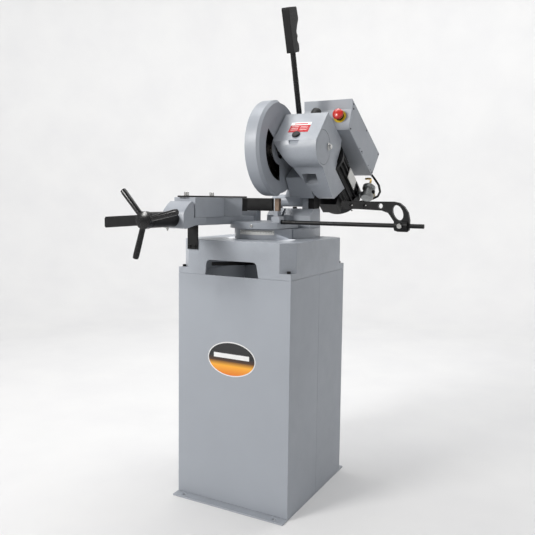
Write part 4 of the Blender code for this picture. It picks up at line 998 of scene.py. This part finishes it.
def cabinet_details():
    mesh = bmesh.new()
    for x in (-HALF_W + 0.0138, HALF_W - 0.0138):
        for y in (-HALF_D + 0.0138, HALF_D - 0.0138):
            socket_screw(mesh, (x, y, FLANGE_TOP), (0, 0, 1), 0.0062, 0.0072)
    detail("tray_bolts", mesh, black, "base")

    mesh = bmesh.new()
    for x in (-0.159, -0.139):
        socket_screw(mesh, (x, -HALF_D - 0.0054, 0.846), (0, -1, 0), 0.0048, 0.004)
    detail("strap_bolts", mesh, black, "base")

    def oval(half_u, half_v, count=72):
        return [(half_u * math.cos(2 * math.pi * k / count),
                 BADGE_Z + half_v * math.sin(2 * math.pi * k / count))
                for k in range(count)]
    trim("badge_rim", label_white, "base", None, add_prism, oval(BADGE_HALF[0], BADGE_HALF[1]), "Y",
         -HALF_D - 0.0009, -HALF_D, edge=0.0003)
    trim("badge_field", badge, "base", None, add_prism, oval(BADGE_HALF[0] - 0.0035, BADGE_HALF[1] - 0.0035),
         "Y", -HALF_D - 0.0013, -HALF_D - 0.0004, edge=0.0002)
    band = [(-0.066, BADGE_Z + 0.002), (0.066, BADGE_Z + 0.002), (0.066, BADGE_Z + 0.017),
            (-0.066, BADGE_Z + 0.017)]
    trim("badge_band", label_white, "base", None, add_prism, band, "Y", -HALF_D - 0.0015, -HALF_D - 0.0010,
         edge=0.0001)

    low = SCREW_Z - 0.0234
    trim("grease_nipple", zinc, "base", None, add_turned,
         [(0, low - 0.011), (0.0022, low - 0.011), (0.0028, low - 0.0085), (0.0022, low - 0.007),
          (0.004, low - 0.006), (0.004, low), (0, low)], "Z", (SCREW_X, -0.392), 10)


def scale_details():
    """Graduated strip on the swivelling ring, its marks and screws, and the pointer's rivet on the fixed disc.
    """
    low, high = 0.8835, 0.8985
    trim("scale_strip", scale_white, "support", None, add_turned,
         [(RING_R - 0.0005, low), (RING_R + 0.0006, low), (RING_R + 0.0006, high), (RING_R - 0.0005, high)],
         "Z", (0, 0), 30, 246, 69, edge=0.0001)
    mesh = bmesh.new()
    for step in range(61):
        angle = math.radians(250 + step)
        tall = 0.0090 if step % 10 == 0 else 0.0068 if step % 5 == 0 else 0.0042
        outward = Vector((math.cos(angle), math.sin(angle), 0))
        side = Vector((-outward.y, outward.x, 0)) * 0.00028
        near, far = outward * (RING_R + 0.0003), outward * (RING_R + 0.0008)
        corners = [near - side, near + side, far + side, far - side]
        bottom = [mesh.verts.new(c + Vector((0, 0, high - 0.001 - tall))) for c in corners]
        top = [mesh.verts.new(c + Vector((0, 0, high - 0.001))) for c in corners]
        mesh.faces.new(bottom)
        mesh.faces.new(top)
        for k in range(4):
            mesh.faces.new([bottom[k], bottom[(k + 1) % 4], top[(k + 1) % 4], top[k]])
    detail("scale_marks", mesh, plastic, "support", edge=0.0)
    mesh = bmesh.new()
    for angle in (247.5, 313.5):
        way = Vector((math.cos(math.radians(angle)), math.sin(math.radians(angle)), 0))
        socket_screw(mesh, way * (RING_R + 0.0004) + Vector((0, 0, 0.891)), way, 0.0020, 0.0011)
    detail("scale_rivets", mesh, zinc, "support", edge=0.0001)
    mesh = bmesh.new()
    way = Vector((math.cos(math.radians(276)), math.sin(math.radians(276)), 0))
    socket_screw(mesh, way * (DISC_R - 0.0003) + Vector((0, 0, 0.913)), way, 0.0048, 0.0030)
    detail("pointer_rivet", mesh, zinc, "base", edge=0.0002)


def head_details(head):
    # label on the slanted front face
    along = (FACE_LOW - FACE_TOP).normalized()

    def sticker(name, x, down, finish_with, lift):
        mesh = bmesh.new()
        corners = []
        for u, v in ((x[0], down[0]), (x[1], down[0]), (x[1], down[1]), (x[0], down[1])):
            spot = FACE_TOP + along * v
            corners.append((u, spot))
        out = Vector((along.y, -along.x))
        if out.x > 0:
            out = -out
        back = [mesh.verts.new((u, *(p - out * 0.0002))) for u, p in corners]
        front = [mesh.verts.new((u, *(p + out * lift))) for u, p in corners]
        mesh.faces.new(back)
        mesh.faces.new(front)
        for k in range(4):
            mesh.faces.new([back[k], back[(k + 1) % 4], front[(k + 1) % 4], front[k]])
        detail(name, mesh, finish_with, "head", head, edge=0.0)
    left, right = 0.072, 0.146
    sticker("label_head", (left, right), (0.048, 0.062), label_white, 0.0005)
    sticker("label_field", (left, right), (0.062, 0.098), label_red, 0.0005)
    sticker("label_rule", (left + 0.012, right - 0.012), (0.0525, 0.0578), label_red, 0.0007)
    for row in range(3):
        for column in range(2):
            x0 = left + 0.006 + column * 0.034
            sticker(f"label_bar_{row}_{column}", (x0, x0 + 0.026),
                    (0.0690 + row * 0.0085, 0.0704 + row * 0.0085),
                    label_white, 0.0007)

    # the box lid laps over the panel along the bend below its front edge
    bend_low, bend_top = Vector(BOX_OUTLINE[1]), Vector(BOX_OUTLINE[2])
    rise = (bend_top - bend_low).normalized()
    outward = Vector((-rise.y, rise.x)) * 0.0013
    lap = [bend_low - rise * 0.0015, bend_top, bend_top + outward * 0.8, bend_low - rise * 0.0015 + outward]
    trim("box_lid_lap", paint, "head", head, add_prism, [tuple(p) for p in lap], "X", BOX_LEFT, BOX_RIGHT)

    # black neck between the stop button and its yellow plate
    panel_low, panel_top = Vector(BOX_OUTLINE[0]), Vector(BOX_OUTLINE[1])
    up = (panel_top - panel_low).normalized()
    spot = panel_low + up * STOP_UP
    out = Vector((-up.y, up.x))
    neck = Matrix.Translation((STOP_X, spot.x, spot.y)) @ Vector((0, 0, 1)).rotation_difference(
        Vector((0, out.x, out.y))).to_matrix().to_4x4()
    mesh = bmesh.new()
    add_tube(mesh, 0.0158, 0.0148, "Z", (0, 0), 0.0022, 0.0104, 28)
    bmesh.ops.transform(mesh, matrix=neck, verts=mesh.verts)
    detail("estop_neck", mesh, plastic, "head", head)

    # box screws and rivets
    mesh = bmesh.new()
    inner = inset(BOX_OUTLINE, 0.010)
    spots = list(inner) + [tuple((Vector(inner[2]) + Vector(inner[3])) / 2),
                           tuple((Vector(inner[4]) + Vector(inner[0])) / 2)]
    for y, z in spots:
        socket_screw(mesh, (BOX_RIGHT - 0.0003, y, z), (1, 0, 0), 0.0030, 0.0018)
    detail("box_screws", mesh, black, "head", head)
    mesh = bmesh.new()
    base_line = Vector(BOX_OUTLINE[4]) - Vector(BOX_OUTLINE[0])
    for share in (0.42, 0.52, 0.80, 0.90):
        spot = Vector(BOX_OUTLINE[0]) + base_line * share + Vector((0.0, 0.0075))
        socket_screw(mesh, (BOX_RIGHT - 0.0003, spot.x, spot.y), (1, 0, 0), 0.0020, 0.0012)
    detail("box_rivets", mesh, plastic, "head", head)

    worm_z = BLADE_Z + WORM_OFFSET
    # motor nameplate on the right flank
    trim("motor_plate", scale_white, "head", head, add_block,
         (WORM_X + MOTOR_R - 0.0010, WORM_X + MOTOR_R + 0.0016), (0.000, 0.078),
         (worm_z - 0.022, worm_z + 0.022))
    mesh = bmesh.new()
    for y in (0.004, 0.074):
        for z in (worm_z - 0.018, worm_z + 0.018):
            socket_screw(mesh, (WORM_X + MOTOR_R + 0.0016, y, z), (1, 0, 0), 0.0018, 0.001)
    detail("motor_plate_rivets", mesh, zinc, "head", head)
    mesh = bmesh.new()
    for angle in (45, 135, 225, 315):
        y_on = 0.1212
        x = WORM_X + 0.072 * math.cos(math.radians(angle))
        z = worm_z + 0.072 * math.sin(math.radians(angle))
        socket_screw(mesh, (x, y_on + 0.050, z), (0, 1, 0), 0.0030, 0.0012)
    detail("fan_cover_screws", mesh, zinc, "head", head)

    # coolant tube, hose and the fitting above the valve
    trim("valve_tube", brass, "head", head, add_sweep,
         bend([(0.2345, 0.140, 0.168), (0.2345, 0.140, 0.190), (0.2300, 0.146, 0.206),
          (0.2180, 0.152, 0.213), (0.2050, 0.155, 0.2145)]), 0.0042, 14)
    trim("valve_nut", brass, "head", head, add_rod, 0.0075, "Z", (0.2345, 0.140), 0.1705, 0.1800, 6)
    trim("coolant_hose", tan_hose, "head", head, add_sweep,
         bend([(0.2345, 0.163, 0.142), (0.2360, 0.182, 0.143), (0.2380, 0.197, 0.152),
          (0.2370, 0.203, 0.168), (0.2300, 0.203, 0.186), (0.2200, 0.198, 0.203), (0.2120, 0.192, 0.215)]),
         0.0046, 14)
    mesh = bmesh.new()
    add_turned(mesh, [(0, 0.2350), (0.0055, 0.2350), (0.0065, 0.2360), (0.0065, 0.2600), (0.0055, 0.2612),
                      (0, 0.2612)], "X", (0.140, 0.1415), 12)
    for k in range(10):
        spot = 2 * math.pi * k / 10
        add_block(mesh, (0.2450, 0.2595), (0.1400 + 0.0064 * math.cos(spot) - 0.0006,
                                           0.1400 + 0.0064 * math.cos(spot) + 0.0006),
                  (0.1415 + 0.0064 * math.sin(spot) - 0.0006, 0.1415 + 0.0064 * math.sin(spot) + 0.0006))
    detail("valve_knob", mesh, plastic, "head", head)

    # gland on the control box for the motor lead
    mesh = bmesh.new()
    add_turned(mesh, [(0, 0.0), (0.0095, 0.0), (0.0095, 0.006), (0.0072, 0.008), (0.0072, 0.013),
                      (0.0052, 0.016),
                      (0, 0.016)], "Z", (0, 0), 12)
    way = Vector((0, 0.87, -0.12)).normalized()
    turned = Vector((0, 0, 1)).rotation_difference(way).to_matrix().to_4x4()
    bmesh.ops.transform(mesh, matrix=Matrix.Translation((0.200, 0.1655, 0.2712)) @ turned, verts=mesh.verts)
    detail("lead_gland", mesh, plastic, "head", head)

    # thin control lead from the lever's foot into the gearbox roof
    trim("trigger_lead", plastic, "head", head, add_sweep,
         bend([(0.050, -0.216, 0.214), (0.041, -0.224, 0.213), (0.0365, -0.228, 0.203),
          (0.0365, -0.228, 0.188)]), 0.0026, 10)


def bend(points, steps=7):
    """A smooth line through the points."""
    points = [Vector(p) for p in points]
    ends = [points[0] * 2 - points[1]] + points + [points[-1] * 2 - points[-2]]
    made = []
    for a, b, c, d in zip(ends, ends[1:], ends[2:], ends[3:]):
        for step in range(steps):
            t = step / steps
            made.append(((b * 2) + (c - a) * t + (a * 2 - b * 5 + c * 4 - d) * t * t
                         + (b * 3 - a - c * 3 + d) * t * t * t) * 0.5)
    made.append(points[-1])
    return made


def stop_details():
    """Black blind plugs in two of the arm's holes as painted shade where those holes look dark, each with a
    small steel pin as a painted glint; the third stays open.
    """
    shade_plugs, glint_pins = bmesh.new(), bmesh.new()
    for x in (0.381, 0.336):
        add_rod(shade_plugs, 0.0078, "Y", (x, 0.985), ROD_Y - 0.0035, ROD_Y + 0.0045, 16)
        add_rod(glint_pins, 0.0021, "Y", (x + 0.0005, 0.986), ROD_Y - 0.0050, ROD_Y, 10)
    # the black plugs paint the shade inside these holes and the steel pins paint small glints in them
    detail("stop_bushes", shade_plugs, black, "stop")
    detail("stop_pins", glint_pins, steel, "stop")


# ---------------------------------------------------------------- build
def bake():
    """Apply the Booleans, put each piece in the world frame, round its edges and hand it to its body."""
    bpy.context.view_layer.update()
    graph = bpy.context.evaluated_depsgraph_get()
    baked = []
    for piece, node, edge, smooth in PIECES:
        data = bpy.data.meshes.new_from_object(piece.evaluated_get(graph))
        data.transform(piece.matrix_world)
        mesh = bmesh.new()
        mesh.from_mesh(data)
        bmesh.ops.remove_doubles(mesh, verts=mesh.verts, dist=WELD)
        mesh.to_mesh(data)
        mesh.free()
        baked.append(data)
    for (piece, node, edge, smooth), data in zip(PIECES, baked):
        piece.modifiers.clear()
        piece.parent = None
        piece.matrix_world = Matrix()
        piece.data = data
        if smooth:
            piece.data.shade_smooth()
            piece.data.set_sharp_from_angle(angle=SHARP)
        if edge:
            rounding = piece.modifiers.new("edges", "BEVEL")
            rounding.width = edge
            rounding.segments = 2
            rounding.limit_method = "ANGLE"
            rounding.angle_limit = SHARP
            rounding.use_clamp_overlap = True
            rounding.harden_normals = False
        if node.startswith("body:"):
            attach(piece, node[5:])
        else:
            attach(piece, frame["nodes"][node]["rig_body"])
            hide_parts(node)
    for tool in TOOLS:
        bpy.data.objects.remove(tool, do_unlink=True)
    for item in list(bpy.data.objects):
        if item.type == "EMPTY" and item.name.endswith("_axis"):
            bpy.data.objects.remove(item, do_unlink=True)


cabinet(paint)
coolant_tank(paint)
tray(cast)
strap(black)
swivel_lock(black)
column(steel)
support(cast)
hinge_pin(steel)
spring_set(black, steel)
stop_bolt(black)
vise_bed(cast)
jaws(black, raw)
vise_slide(cast, zinc)
screw_housing(cast)
screw_sleeve(black)
vise_screw(steel, gloss_black)
quick_lever(black)
work_stop(black, steel)

head_axis = empty("head_axis", (0, PIVOT_Y, PIVOT_Z), Matrix.Rotation(HEAD_TILT, 3, "X"))
head_casting(cast, head_axis)
gear_cover(cast, zinc, plastic, head_axis)
drive(steel, bronze, blade_steel, head_axis)
rear_guard(paint, head_axis)
front_guard(paint, head_axis)
guard_bolt(black, head_axis)
motor(motor_black, steel, head_axis)
control_box(paint, plastic, yellow, red, head_axis)
lever(gloss_black, plastic, head_axis)
services(valve_metal, rubber, head_axis)
cabinet_details()
scale_details()
head_details(head_axis)
stop_details()
bake()

# ---------------------------------------------------------------- stage
STAGE_R, COVE_R = 4.3, 1.3            # a round studio cove, so that every side has the same pale ground
mesh = bmesh.new()
cove = [(0.02, -0.0004), (STAGE_R - COVE_R, -0.0004)] + arc(
    (STAGE_R - COVE_R, COVE_R - 0.0004), COVE_R, -90, 0, 16)[1:] + [(STAGE_R, 5.0)]
turns = [math.radians(5 * k) for k in range(72)]
rows = [[mesh.verts.new((r * math.cos(a), r * math.sin(a), z)) for r, z in cove] for a in turns]
for k in range(len(rows)):
    near, far = rows[k - 1], rows[k]
    for j in range(len(cove) - 1):
        mesh.faces.new([near[j], far[j], far[j + 1], near[j + 1]])
data = bpy.data.meshes.new("studio_sweep")
mesh.to_mesh(data)
mesh.free()
data.shade_smooth()
floor = bpy.data.objects.new("studio_sweep", data)
bpy.context.scene.collection.objects.link(floor)
floor_look, nodes, links, shader = shader_nodes("studio paper")
coords = nodes.new("ShaderNodeTexCoord")
links.new(ramp(nodes, links, noise(nodes, links, coords, 3, 3), [(0.3, (0.56, 0.56, 0.565)),
        (0.7, (0.59, 0.59, 0.59))]),
          shader.inputs["Base Color"])
shader.inputs["Roughness"].default_value = 0.9
shader.inputs["Specular IOR Level"].default_value = 0.1
shader.inputs["Emission Color"].default_value = (1, 1, 1, 1)
shader.inputs["Emission Strength"].default_value = 0.15
data.materials.append(floor_look)

world = bpy.data.worlds.new("studio")
bpy.context.scene.world = world
world.use_nodes = True
world.node_tree.nodes["Background"].inputs["Color"].default_value = (0.97, 0.985, 1.0, 1)
world.node_tree.nodes["Background"].inputs["Strength"].default_value = 0.05


def area_light(name, location, target, size, power, colour=(1, 1, 1)):
    lamp = bpy.data.lights.new(name, "AREA")
    lamp.shape = "RECTANGLE"
    lamp.size, lamp.size_y = size
    lamp.energy = power
    lamp.color = colour
    made = bpy.data.objects.new(name, lamp)
    bpy.context.scene.collection.objects.link(made)
    made.location = location
    made.rotation_euler = (Vector(target) - Vector(location)).to_track_quat("-Z", "Y").to_euler()


area_light("key", (-1.5, -3.1, 2.5), (0, 0, 0.85), (1.1, 1.1), 118, (1.0, 0.985, 0.965))
area_light("fill", (3.0, -0.9, 1.9), (0, 0, 0.9), (1.2, 1.8), 3, (0.95, 0.98, 1.0))
area_light("top", (-0.1, 0.1, 3.4), (0, 0.1, 1.0), (1.8, 1.8), 22)
area_light("backdrop_light", (0.0, 0.9, 3.6), (-1.4, 3.4, 0.8), (4.0, 1.2), 120)
area_light("tray_light", (0.0, 0.05, 0.845), (0.0, 0.0, 0.70), (0.25, 0.25), 0.35)
bpy.context.scene.view_settings.view_transform = "Standard"

AZIMUTH, PITCH, ROLL = math.radians(28.734), math.radians(4.58), math.radians(0.633)
CAMERA_AT = (1.046, -1.960, 1.005)
SENSOR_MM, FOCAL_MM = 36, 43.207
SHIFT = (0.01852, -0.03363)
forward = Vector((-math.sin(AZIMUTH) * math.cos(PITCH), math.cos(AZIMUTH) * math.cos(PITCH), -math.sin(PITCH)))
level = Vector((math.cos(AZIMUTH), math.sin(AZIMUTH), 0))
upward = level.cross(forward)
right = level * math.cos(ROLL) + upward * math.sin(ROLL)
upright = upward * math.cos(ROLL) - level * math.sin(ROLL)
lens = bpy.data.cameras.new("camera")
lens.sensor_width = SENSOR_MM
lens.lens = FOCAL_MM
lens.shift_x, lens.shift_y = SHIFT
camera = bpy.data.objects.new("camera", lens)
bpy.context.scene.collection.objects.link(camera)
camera.matrix_world = Matrix.Translation(CAMERA_AT) @ Matrix(
    (right, upright, -forward)).transposed().to_4x4()
bpy.context.scene.camera = camera
